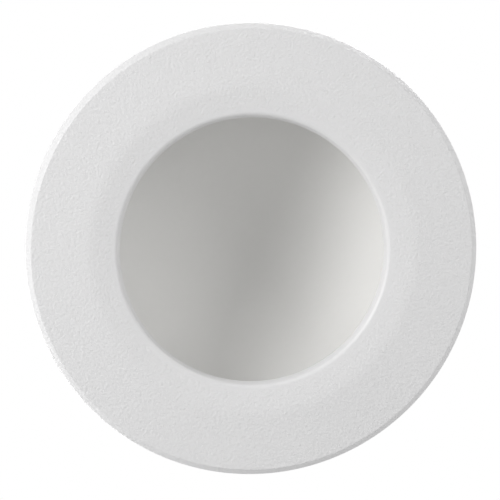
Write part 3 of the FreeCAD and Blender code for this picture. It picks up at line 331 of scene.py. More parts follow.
@dataclass(frozen=True)
class SprayedPaint:
    """Paint or powder coat: a pebbled skin with finer grain and faint clouds, with painted shade that
    darkens the hollows between the pebbles.

    Where smooth_to is set, the skin is even within smooth_from of the axis and pebbled past smooth_to.
    """

    colour: Colour
    shade: Colour
    pebble: float
    pebble_depth: float
    grain: float
    grain_depth: float
    roughness: float
    spread: float = 0.06
    cloud: float = 35.0 * MM
    smooth_from: float = 0.0
    smooth_to: float = 0.0

    def build(self, name: str) -> Material:
        """Makes the material.

        Args:
            name: The material's name.

        Returns:
            The material.
        """
        pattern = Pattern(name)
        clouds = pattern.noise(self.cloud, 3.0)
        pebbles = pattern.noise(self.pebble, 2.0, 0.55)
        grain = pattern.noise(self.grain, 1.0)
        # Painted shade: the colour darkens toward the shade colour in the pebbles' hollows, mixed with
        # random cloudy tone.
        hollow_shade_and_clouds = (0.5 - pebbles) * 0.5 + clouds * 0.6
        colour = pattern.blend(hollow_shade_and_clouds, self.colour, self.shade)
        if self.smooth_to > 0:
            rough = pattern.off_axis(self.smooth_from, self.smooth_to)
            pebbles, grain = (pebbles - 0.5) * rough + 0.5, (grain - 0.5) * rough + 0.5
        coarse = pattern.relief(pebbles, self.pebble_depth)
        return pattern.finish(
            base_color=colour,
            roughness=pattern.between(grain, self.roughness - self.spread, self.roughness + self.spread),
            normal=pattern.relief(grain, self.grain_depth, coarse),
        )


@dataclass(frozen=True)
class MouldedPlastic:
    """Moulded plastic with a spark-eroded grain, faint flow marks and rubbed high spots."""

    colour: Colour
    shade: Colour
    grain: float
    depth: float
    roughness: float
    spread: float = 0.08
    flow: float = 20.0 * MM

    def build(self, name: str) -> Material:
        """Makes the material.

        Args:
            name: The material's name.

        Returns:
            The material.
        """
        pattern = Pattern(name)
        flow = pattern.noise(self.flow, 4.0, 0.6)
        pits = pattern.cells(self.grain)
        rubbed = pattern.noise(self.grain * 9, 2.0)
        return pattern.finish(
            base_color=pattern.blend(flow, self.colour, self.shade),
            roughness=pattern.between(rubbed, self.roughness - self.spread, self.roughness + self.spread),
            normal=pattern.relief(pits, self.depth),
        )


@dataclass(frozen=True)
class SoftRubber:
    """Rubber, silicone or foam: matt, slightly mottled, with open or closed pores."""

    colour: Colour
    bloom: Colour
    pore: float
    depth: float
    roughness: float = 0.82

    def build(self, name: str) -> Material:
        """Makes the material.

        Args:
            name: The material's name.

        Returns:
            The material.
        """
        pattern = Pattern(name)
        bloom = pattern.noise(self.pore * 14, 4.0, 0.62)
        pores = pattern.cells(self.pore)
        dust = (bloom > 0.55) * 0.35 + bloom * 0.3
        return pattern.finish(
            base_color=pattern.blend(dust, self.colour, self.bloom),
            roughness=pattern.between(bloom, self.roughness - 0.07, self.roughness + 0.07),
            normal=pattern.relief(pores, self.depth),
        )


class Draw(Enum):
    """The way along which a metal was drawn or brushed."""

    ROUND = (1.0, 1.0, 1.0)
    ALONG_Y = (1.0, 0.06, 1.0)


@dataclass(frozen=True)
class PlatedSteel:
    """Zinc-plated or galvanised steel: drawn lines, soft spangle and duller worn patches."""

    colour: Colour
    tint: Colour
    line: float
    draw: Draw
    roughness: float
    spangle: float = 4.0 * MM
    depth: float = 0.01 * MM

    def build(self, name: str) -> Material:
        """Makes the material.

        Args:
            name: The material's name.

        Returns:
            The material.
        """
        pattern = Pattern(name)
        drawn = pattern.stretched(tuple(k / self.line for k in self.draw.value))
        lines = pattern.noise(1.0, 3.0, 0.6, drawn)
        spangle = pattern.cells(self.spangle)
        worn = pattern.noise(self.spangle * 1.7, 3.0)
        return pattern.finish(
            base_color=pattern.blend(spangle * 0.5 + worn * 0.4, self.colour, self.tint),
            metallic=1.0,
            roughness=pattern.between(lines, self.roughness - 0.08, self.roughness + 0.12) + worn * 0.1,
            normal=pattern.relief(lines, self.depth),
        )


@dataclass(frozen=True)
class CircuitBoard:
    """Solder mask over copper: wide pads, fine tracks between them and the weave underneath."""

    mask: Colour
    track: Colour
    pitch: float
    run: float = 7.0
    weave: float = 0.6 * MM
    depth: float = 0.04 * MM

    def _tracks(self, pattern: Pattern, across: Signal, tile: Triple) -> Signal:
        """Straight tracks side by side, each run of a tile's length there or missing.

        Args:
            pattern: The material.
            across: Position across the tracks.
            tile: Size of the tile round one run, in metres.

        Returns:
            1 on a track, 0 beside it.
        """
        inputs = {0: pattern.place(), 1: tile}
        spot = pattern.node("ShaderNodeVectorMath", {"operation": "SNAP"}, inputs)
        there = pattern.noise(self.pitch * 1.7, 0.0, at=spot) > 0.52
        return (abs((across / self.pitch).fract() - 0.5) < 0.17) * there

    def build(self, name: str) -> Material:
        """Makes the material.

        Args:
            name: The material's name.

        Returns:
            The material.
        """
        pattern = Pattern(name)
        across, along, _ = pattern.axes()
        rows = self._tracks(pattern, across, (self.pitch, self.run * self.pitch, 1.0))
        columns = self._tracks(pattern, along, (self.run * self.pitch, self.pitch, 1.0))
        pads = pattern.cells(self.pitch * 2.2) < 0.13
        copper = rows | columns | pads
        cloth = 2 * math.pi / self.weave
        weave = (along * cloth).sine() * (across * cloth).sine()
        return pattern.finish(
            base_color=pattern.blend(copper, self.mask, self.track),
            roughness=0.34 - copper * 0.08,
            normal=pattern.relief(copper * 0.8 + weave * 0.1, self.depth),
        )


@dataclass(frozen=True)
class OpalSheet:
    """Opal acrylic that lets the hidden light through, with a barely uneven body."""

    colour: Colour
    through: float
    cloud: float = 6.0 * MM
    grain: float = 1.2 * MM
    depth: float = 0.02 * MM

    def build(self, name: str) -> Material:
        """Makes the material.

        Args:
            name: The material's name.

        Returns:
            The material.
        """
        pattern = Pattern(name)
        body = pattern.noise(self.cloud, 3.0)
        return pattern.finish(
            base_color=pattern.blend(body, self.colour, tuple(0.97 * c for c in self.colour)),
            roughness=pattern.between(body, 0.36, 0.46),
            subsurface_weight=self.through,
            normal=pattern.relief(pattern.noise(self.grain, 2.0), self.depth),
        )


@dataclass(frozen=True)
class CoatedChip:
    """Phosphor set in silicone, with settled grains."""

    colour: Colour
    grain_colour: Colour
    grain: float = 0.18 * MM
    cloud: float = 1.1 * MM
    depth: float = 0.01 * MM

    def build(self, name: str) -> Material:
        """Makes the material.

        Args:
            name: The material's name.

        Returns:
            The material.
        """
        pattern = Pattern(name)
        grains = pattern.cells(self.grain)
        settled = pattern.noise(self.cloud, 3.0)
        return pattern.finish(
            base_color=pattern.blend(grains * 0.5 + settled * 0.5, self.colour, self.grain_colour),
            roughness=pattern.between(settled, 0.18, 0.34),
            normal=pattern.relief(grains, self.depth),
        )


@dataclass(frozen=True)
class StripedInsulation:
    """Wire insulation with an optional second colour in a stripe along it."""

    colour: Colour
    stripe: Colour | None = None
    width: float = 0.4 * MM
    cloud: float = 1.5 * MM
    depth: float = 0.02 * MM

    def build(self, name: str) -> Material:
        """Makes the material.

        Args:
            name: The material's name.

        Returns:
            The material.
        """
        pattern = Pattern(name)
        skin = pattern.noise(self.cloud, 3.0)
        colour: Any = pattern.blend(skin * 0.5, self.colour, tuple(0.72 * c for c in self.colour))
        if self.stripe is not None:
            across, _, _ = pattern.axes()
            colour = pattern.blend(((across / self.width).sine() > 0.1), colour, self.stripe)
        return pattern.finish(
            base_color=colour,
            roughness=pattern.between(skin, 0.28, 0.42),
            normal=pattern.relief(skin, self.depth),
        )


@dataclass(frozen=True)
class WoundCore:
    """A ferrite core with amber tape over its winding."""

    core: Colour
    tape: Colour
    edge: float
    fleck: Colour = (0.17, 0.17, 0.17)
    grit: float = 0.5 * MM
    depth: float = 0.05 * MM

    def build(self, name: str) -> Material:
        """Makes the material.

        Args:
            name: The material's name.

        Returns:
            The material.
        """
        pattern = Pattern(name)
        _, along, _ = pattern.axes()
        wraps = (abs((along / self.edge).fract() - 0.5) < 0.22) * 1.0
        grit = pattern.noise(self.grit, 2.0)
        tape = pattern.blend(grit * 0.4, self.tape, tuple(0.7 * c for c in self.tape))
        return pattern.finish(
            base_color=pattern.blend(wraps, pattern.blend(grit, self.core, self.fleck), tape),
            roughness=0.62 - wraps * 0.3,
            normal=pattern.relief(grit + wraps * 0.5, self.depth),
        )


Finish = (
    SprayedPaint
    | MouldedPlastic
    | SoftRubber
    | PlatedSteel
    | CircuitBoard
    | OpalSheet
    | CoatedChip
    | StripedInsulation
    | WoundCore
)

FINISHES: Mapping[str, Finish] = {
    # A sprayed paint's second colour is partly painted shade in its pebble hollows and partly random
    # cloudy tone.
    "white_paint": SprayedPaint(
        (0.80, 0.797, 0.80), (0.77, 0.767, 0.77), 1.1 * MM, 0.36 * MM, 0.5 * MM, 0.05 * MM, 0.40,
        smooth_from=54.0 * MM, smooth_to=57.0 * MM,
    ),
    "dome_white": SprayedPaint(
        (0.78, 0.775, 0.76), (0.75, 0.745, 0.73), 2.5 * MM, 0.05 * MM, 0.4 * MM, 0.012 * MM, 0.74,
    ),
    "die_cast": SprayedPaint(
        (0.74, 0.74, 0.73), (0.66, 0.66, 0.65), 1.6 * MM, 0.15 * MM, 0.5 * MM, 0.04 * MM, 0.48,
    ),
    "gasket_foam": SoftRubber((0.70, 0.70, 0.68), (0.80, 0.80, 0.78), 0.5 * MM, 0.12 * MM, 0.9),
    "thermal_sheet": SoftRubber((0.32, 0.35, 0.40), (0.40, 0.43, 0.47), 0.4 * MM, 0.03 * MM, 0.7),
    "white_board": CircuitBoard((0.78, 0.78, 0.75), (0.70, 0.70, 0.66), 2.4 * MM),
    "phosphor": CoatedChip((0.86, 0.66, 0.18), (0.74, 0.50, 0.10)),
    "diffuser": OpalSheet((0.88, 0.88, 0.86), 0.25),
    "white_plastic": MouldedPlastic((0.76, 0.74, 0.68), (0.70, 0.68, 0.61), 0.35 * MM, 0.02 * MM, 0.45),
    "lead_jacket": MouldedPlastic((0.72, 0.72, 0.70), (0.66, 0.66, 0.63), 0.3 * MM, 0.015 * MM, 0.5),
    "black_rubber": SoftRubber((0.030, 0.030, 0.032), (0.065, 0.065, 0.066), 0.35 * MM, 0.03 * MM),
    "foot_rubber": SoftRubber((0.09, 0.095, 0.10), (0.15, 0.155, 0.16), 0.4 * MM, 0.04 * MM),
    "case_plastic": MouldedPlastic((0.74, 0.74, 0.72), (0.69, 0.69, 0.66), 0.55 * MM, 0.035 * MM, 0.52),
    "green_board": CircuitBoard((0.012, 0.13, 0.045), (0.05, 0.26, 0.09), 1.6 * MM),
    "ferrite": WoundCore((0.055, 0.055, 0.058), (0.62, 0.36, 0.06), 9.0 * MM),
    "can_sleeve": MouldedPlastic((0.020, 0.024, 0.05), (0.035, 0.04, 0.075), 0.3 * MM, 0.012 * MM, 0.3),
    "chip_black": MouldedPlastic((0.022, 0.022, 0.024), (0.04, 0.04, 0.042), 0.22 * MM, 0.02 * MM, 0.55),
    "terminal_grey": MouldedPlastic((0.34, 0.35, 0.36), (0.29, 0.30, 0.31), 0.4 * MM, 0.025 * MM, 0.5),
    "button_orange": MouldedPlastic((0.72, 0.20, 0.02), (0.62, 0.15, 0.015), 0.35 * MM, 0.02 * MM, 0.42),
    "zinc_steel": PlatedSteel(
        (0.62, 0.64, 0.67), (0.50, 0.52, 0.55), 0.25 * MM, Draw.ROUND, 0.32, 1.2 * MM,
    ),
    "spring_steel": PlatedSteel((0.56, 0.57, 0.59), (0.44, 0.46, 0.48), 0.30 * MM, Draw.ALONG_Y, 0.30),
    "wire_brown": StripedInsulation((0.16, 0.06, 0.025)),
    "wire_blue": StripedInsulation((0.02, 0.09, 0.42)),
    "wire_green": StripedInsulation((0.10, 0.36, 0.04), (0.80, 0.66, 0.04)),
}


def placed(name: str, data: bpy.types.ID) -> Piece:
    """Puts a new object into the scene.

    Args:
        name: The object's name.
        data: Its mesh, lamp or camera.

    Returns:
        The object.
    """
    made = bpy.data.objects.new(name, data)
    bpy.context.scene.collection.objects.link(made)
    return made


def look(holder: Piece, place: Vector, turn: Quaternion) -> None:
    """Stands a lamp or camera at a place, turned."""
    holder.location, holder.rotation_mode = place, "QUATERNION"
    holder.rotation_quaternion = turn


def direction(lean: float, turn: float) -> Vector:
    """The way out from the light's middle to a lamp or to the camera.

    Args:
        lean: Degrees away from straight below.
        turn: Degrees round from the picture's right, anticlockwise as seen in the picture.

    Returns:
        The way, one metre long.
    """
    lean, turn = math.radians(lean), math.radians(turn)
    out = math.sin(lean)
    return Vector((-math.cos(turn) * out, math.sin(turn) * out, -math.cos(lean)))


class Workshop:
    """Makes meshes and hands out one material for each finish."""

    end_shares = (0.35, 0.8)
    end_reach = 0.4

    def __init__(self) -> None:
        """Reads which finish each node of the construction has."""
        self.slots = {row["node"]: row["material_slot"] for row in frame["record"]["subparts"]}
        self.made: dict[str, Material] = {}

    def material(self, slot: str) -> Material:
        """The material of a finish, made on first use.

        Args:
            slot: The finish's name.

        Returns:
            The material.
        """
        if slot not in self.made:
            self.made[slot] = FINISHES[slot].build(slot)
        return self.made[slot]

    def paint(self, piece: Piece, slot: str) -> None:
        """Gives a piece its one finish."""
        piece.data.materials.clear()
        piece.data.materials.append(self.material(slot))

    def turned(
        self, name: str, outline: Sequence[Point], steps: int = 288, middle: Point = (0.0, 0.0)
    ) -> Piece:
        """Turns a closed outline about an upright line.

        Args:
            name: The piece's name.
            outline: Radius and height of each point, in metres.
            steps: Faces round the circle.
            middle: Where the line stands, by default in the light's centre.

        Returns:
            The piece, smooth but for its true corners.
        """
        mesh = bmesh.new()
        rings = []
        angles = [2 * math.pi * k / steps for k in range(steps)]
        for radius, level in outline:
            turns = angles if radius > 0.0 else angles[:1]
            places = ((radius * math.cos(a), radius * math.sin(a), level) for a in turns)
            rings.append([mesh.verts.new(place) for place in places])
        for ring, after in zip(rings, rings[1:] + rings[:1]):
            if len(ring) == len(after) == 1:
                continue
            for k in range(steps):
                low = [ring[k % len(ring)], ring[(k + 1) % len(ring)]]
                high = [after[(k + 1) % len(after)], after[k % len(after)]]
                mesh.faces.new(dict.fromkeys(low + high))
        bmesh.ops.translate(mesh, verts=mesh.verts, vec=(*middle, 0.0))
        bmesh.ops.recalc_face_normals(mesh, faces=mesh.faces)
        return self._placed(name, mesh)

    def _placed(self, name: str, mesh: bmesh.types.BMesh) -> Piece:
        """Puts a mesh into the scene, smooth but for its true corners.

        Args:
            name: The piece's name.
            mesh: Its mesh, which is freed.

        Returns:
            The piece.
        """
        data = bpy.data.meshes.new(name)
        mesh.to_mesh(data)
        mesh.free()
        data.shade_smooth()
        data.set_sharp_from_angle(angle=CORNER)
        return placed(name, data)

    def wire(self, name: str, line: Sequence[Vector], radius: float, sides: int = 18) -> Piece:
        """Sweeps a round wire with rounded ends along a line.

        Args:
            name: The piece's name.
            line: Points along the wire's middle.
            radius: The wire's radius in metres.
            sides: Faces round the wire.

        Returns:
            The piece.
        """
        mesh = bmesh.new()
        ways = [(b - a).normalized() for a, b in zip(line, line[1:])]
        ways.append(ways[-1])
        across = ways[0].orthogonal().normalized()
        rings: list[list[bmesh.types.BMVert]] = []

        def ring(middle: Vector, way: Vector, size: float) -> None:
            """Adds a ring of points round the wire and joins it to the last.

            Args:
                middle: The ring's middle.
                way: The way on along the wire there.
                size: The ring's radius in metres.
            """
            beside = way.cross(across)
            angles = (2 * math.pi * k / sides for k in range(sides))
            places = (middle + (across * math.cos(a) + beside * math.sin(a)) * size for a in angles)
            rings.append([mesh.verts.new(place) for place in places])
            for k in range(sides if len(rings) > 1 else 0):
                after = (k + 1) % sides
                mesh.faces.new((rings[-2][k], rings[-2][after], rings[-1][after], rings[-1][k]))

        first, last = ways[0], ways[-1]
        for share in self.end_shares:
            ring(line[0] - first * radius * (self.end_reach - share / 2), first, radius * share)
        for middle, way in zip(line, ways):
            across = (across - way * across.dot(way)).normalized()
            if middle is not line[0] and middle is not line[-1]:
                ring(middle, way, radius)
        for share in reversed(self.end_shares):
            ring(line[-1] + last * radius * (self.end_reach - share / 2), last, radius * share)
        mesh.faces.new(reversed(rings[0]))
        mesh.faces.new(rings[-1])
        bmesh.ops.recalc_face_normals(mesh, faces=mesh.faces)
        return self._placed(name, mesh)

    def cutter(self, low: Vector, high: Vector) -> Piece:
        """A box that only serves to cut.

        Args:
            low: Its lowest corner.
            high: Its highest.

        Returns:
            The box.
        """
        mesh = bmesh.new()
        bmesh.ops.create_cube(mesh, size=1.0)
        for corner in mesh.verts:
            corner.co = [(a + b) / 2 + c * (b - a) for a, b, c in zip(low, high, corner.co)]
        return self._placed("cutter", mesh)

    def round_cutter(self, x: float, y: float, low: float, high: float, radius: float) -> Piece:
        """An upright rod that only serves to cut.

        Args:
            x: Place across.
            y: Place along.
            low: Lower end.
            high: Upper end.
            radius: Its radius.

        Returns:
            The rod.
        """
        mesh = bmesh.new()
        bmesh.ops.create_cone(
            mesh, cap_ends=True, segments=48, radius1=radius, radius2=radius, depth=high - low
        )
        bmesh.ops.translate(mesh, verts=mesh.verts, vec=(x, y, (low + high) / 2))
        return self._placed("cutter", mesh)

    def drills(
        self, places: Sequence[Point], low: float, high: float, radius: float
    ) -> list[Piece]:
        """Upright rods of one size that only serve to cut."""
        return [self.round_cutter(x, y, low, high, radius) for x, y in places]

    def cut(self, piece: Piece, cutters: Sequence[Piece]) -> None:
        """Cuts the piece with each cutter and removes the cutters.

        Args:
            piece: The piece to cut.
            cutters: The boxes and rods to cut with.
        """
        for tool in cutters:
            change = piece.modifiers.new("cut", "BOOLEAN")
            change.operation, change.object, change.solver = "DIFFERENCE", tool, "EXACT"
        graph = bpy.context.evaluated_depsgraph_get()
        data = bpy.data.meshes.new_from_object(piece.evaluated_get(graph))
        piece.modifiers.clear()
        piece.data = data
        data.set_sharp_from_angle(angle=CORNER)
        for tool in cutters:
            bpy.data.objects.remove(tool)

    def carry_over(self, node: str, edge: float, shut: float = 40.0) -> Piece:
        """Dresses a constructed piece in its finish and softens its edges.

        Args:
            node: The piece's name.
            edge: Width of the softened edge in metres, or zero for none.
            shut: Angle in degrees from which an edge counts as a corner.

        Returns:
            The piece.
        """
        piece = frame["nodes"][node]
        material = self.material(self.slots[node])
        for slot in piece.material_slots:
            slot.material = material
        if edge > 0:
            change = piece.modifiers.new("edges", "BEVEL")
            change.width, change.segments = edge, 2
            change.limit_method, change.angle_limit = "ANGLE", math.radians(shut)
            change.harden_normals = False
        return piece


def soften(corners: Sequence[Point], rounds: Mapping[int, float], steps: int = 8) -> list[Point]:
    """Rounds corners of a closed outline.

    Args:
        corners: Radius and height of each corner.
        rounds: Radius of the round by the corner's place.
        steps: Points along each round.

    Returns:
        The outline's points.
    """
    outline: list[Point] = []
    count = len(corners)
    for i, corner in enumerate(corners):
        if i not in rounds:
            outline.append(corner)
            continue
        here = Vector(corner)
        back = (Vector(corners[i - 1]) - here).normalized()
        ahead = (Vector(corners[(i + 1) % count]) - here).normalized()
        half = back.angle(ahead) / 2
        reach = rounds[i] / math.tan(half)
        centre = here + (back + ahead).normalized() * (rounds[i] / math.sin(half))
        first = (here + back * reach - centre).normalized()
        last = (here + ahead * reach - centre).normalized()
        for k in range(steps + 1):
            point = centre + first.slerp(last, k / steps) * rounds[i]
            outline.append((point.x, point.y))
    return outline


def around(radius: float, start: float, count: int) -> list[Point]:
    """Places on a circle, from an angle in degrees."""
    angles = (math.radians(start + 360 * k / count) for k in range(count))
    return [(radius * math.cos(a), radius * math.sin(a)) for a in angles]


def edge_widths(**widths: float) -> Any:
    """A dataclass field with the width of the softened edges of each piece, in millimetres."""
    return field(default_factory=lambda: widths)


@dataclass
class SubAssembly:
    """Pieces that keep their constructed shape, and get a finish and softened edges of a stated width."""

    shop: Workshop
    edges: Mapping[str, float] = field(default_factory=dict)

    def build(self) -> list[Piece]:
        """Dresses each constructed piece."""
        return [self.shop.carry_over(node, width * MM) for node, width in self.edges.items()]

    def settle(self, piece: Piece, node: str, rides: bool = True) -> Piece:
        """Lets a piece made here stand for a constructed one, in that one's finish.

        Args:
            piece: The piece made here.
            node: The constructed piece.
            rides: Whether it rides on the light's own body.

        Returns:
            The piece.
        """
        slot = self.shop.slots[node]
        self.shop.paint(piece, slot)
        if rides:
            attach(piece, "light")
        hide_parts(node)
        return piece


@dataclass
class TrimRing(SubAssembly):
    """The painted ring that the room sees, with its lip, channel and spigot, and the gasket behind it."""

    edges: Mapping[str, float] = edge_widths(ceiling_gasket=0.3)
    radius: float = 90.0 * MM
    back: float = -1.5 * MM
    edge: float = -5.5 * MM
    face: float = -8.5 * MM
    chamfer: float = 2.3 * MM
    crest: float = -10.15 * MM
    crest_radius: float = 64.7 * MM
    crest_blend: float = 30.0 * MM
    funnel_rise: float = 0.85 * MM
    opening: float = 53.0 * MM
    lip: float = 2.0 * MM
    lip_edge: float = 52.6 * MM
    lip_depth: float = -5.5 * MM
    lip_width: float = 1.1 * MM
    collar: float = 55.2 * MM
    collar_top: float = -3.1 * MM
    channel: float = 66.5 * MM
    channel_floor: float = -6.4 * MM
    step: float = 68.0 * MM
    spigot: float = 79.0 * MM
    spigot_wall: float = 2.5 * MM
    spigot_top: float = 4.5 * MM
    spigot_lead: float = 0.8 * MM
    fine_edge: float = 0.25 * MM
    hard_edge: float = 0.6 * MM
    outer_edge: float = 2.0 * MM
    screw_circle: float = 72.7 * MM
    screw_start: float = 36.0
    screw_hole: float = 1.55 * MM
    screw_depth: float = 6.5 * MM
    ring_screw_start: float = 30.0
    ring_screw_hole: float = 1.3 * MM
    ring_screw_depth: float = 2.3 * MM
    tab_half: float = 5.0 * MM
    tab_end: float = 76.0 * MM

    def outline(self) -> list[Point]:
        """Half the ring's section, with its rounds.

        Returns:
            Radius and height of each point.
        """
        slope = self.funnel_rise / (self.crest_radius - self.opening - self.lip)
        lip_start = self.lip_edge + self.lip_width
        lip_level = self.crest + slope * (self.crest_radius - lip_start)
        inner = self.spigot - self.spigot_wall
        corners = [
            (self.spigot - self.spigot_lead, self.spigot_top),
            (inner, self.spigot_top),
            (inner, self.back),
            (self.step, self.back),
            (self.step, self.collar_top),
            (self.channel, self.collar_top),
            (self.channel, self.channel_floor),
            (self.collar, self.channel_floor),
            (self.collar, self.collar_top),
            (self.opening, self.collar_top),
            (self.lip_edge, self.lip_depth),
            (lip_start, lip_level),
            (self.crest_radius, self.crest),
            (self.radius - self.chamfer, self.face),
            (self.radius, self.edge),
            (self.radius, self.back),
            (self.spigot, self.back),
            (self.spigot, self.spigot_top - self.spigot_lead),
        ]
        rounds = dict.fromkeys((1, 8, 9, 10), self.fine_edge) | dict.fromkeys((13, 15), self.hard_edge)
        rounds |= {11: self.lip, 12: self.crest_blend, 14: self.outer_edge}
        return soften(corners, rounds, 14)

    def build(self) -> list[Piece]:
        """Turns the ring, cuts its screw holes and the pocket for the light ring's plug.

        Returns:
            The finished pieces.
        """
        ring = self.shop.turned("trim_ring_finished", self.outline())
        middle = (self.collar + self.channel) / 2
        deep, shallow = self.back - self.screw_depth, self.channel_floor - self.ring_screw_depth
        screws = around(self.screw_circle, self.screw_start, 4)
        ring_screws = around(middle, self.ring_screw_start, 3)
        cutters = self.shop.drills(screws, deep, self.spigot_top, self.screw_hole)
        cutters += self.shop.drills(ring_screws, shallow, self.collar_top, self.ring_screw_hole)
        low = Vector((-self.tab_half, middle, self.channel_floor))
        cutters.append(self.shop.cutter(low, Vector((self.tab_half, self.tab_end, self.spigot_top))))
        self.shop.cut(ring, cutters)
        return [self.settle(ring, "trim_ring"), *super().build()]


@dataclass
class Reflector(SubAssembly):
    """The deep matt dome behind the opening, with the rim that it is clamped by."""

    base: float = 66.0 * MM
    depth: float = 42.5 * MM
    wall: float = 1.0 * MM
    low: float = -0.5 * MM
    rim: float = 76.1 * MM
    screw_circle: float = 72.7 * MM
    screw_start: float = 36.0
    screw_hole: float = 1.7 * MM
    lead_hole: float = 2.35 * MM
    steps: int = 60

    def _arc(self, radius: float, centre: float, end: float) -> list[Point]:
        """Points of an arc from the crown down to an angle from the upright."""
        angles = (end * k / self.steps for k in range(self.steps + 1))
        return [(radius * math.sin(a), centre + radius * math.cos(a)) for a in angles]

    def outline(self) -> list[Point]:
        """Half the dome's section: the inner arc, the rim, and the outer arc back to the crown.

        Returns:
            Radius and height of each point.
        """
        sphere = (self.base**2 + self.depth**2) / (2 * self.depth)
        centre = self.low + self.depth - sphere
        outer = sphere + self.wall
        inside = self._arc(sphere, centre, math.asin(self.base / sphere))
        outside = self._arc(outer, centre, math.acos((self.low + self.wall - centre) / outer))
        return [*inside, (self.rim, self.low), (self.rim, self.low + self.wall), *reversed(outside)]

    def build(self) -> list[Piece]:
        """Turns the dome and cuts the holes of its rim.

        Returns:
            The finished pieces.
        """
        dome = self.shop.turned("reflector_dome_finished", self.outline())
        low, high = self.low - self.wall, self.low + 2 * self.wall
        screws = around(self.screw_circle, self.screw_start, 4)
        cutters = self.shop.drills(screws, low, high, self.screw_hole)
        cutters.append(self.shop.round_cutter(0.0, self.screw_circle, low, high, self.lead_hole))
        self.shop.cut(dome, cutters)
        return [self.settle(dome, "reflector_dome")]


@dataclass
class LightRing(SubAssembly):
    """The ring of light-emitting chips behind the lip, on its cooling pad and under its diffuser."""

    edges: Mapping[str, float] = edge_widths(
        thermal_pad=0.1,
        led_board=0.15,
        led_chips=0.2,
        board_screws=0.12,
        board_plug=0.25,
        diffuser_ring=0.3,
        dome_seal=0.2,
    )


@dataclass
class RearHousing(SubAssembly):
    """The finned cast housing behind the dome, its screws and the lead that runs up to the driver."""

    edges: Mapping[str, float] = edge_widths(
        rear_housing=0.35,
        housing_screws=0.15,
        rim_grommet=0.2,
        led_lead=0.0,
    )


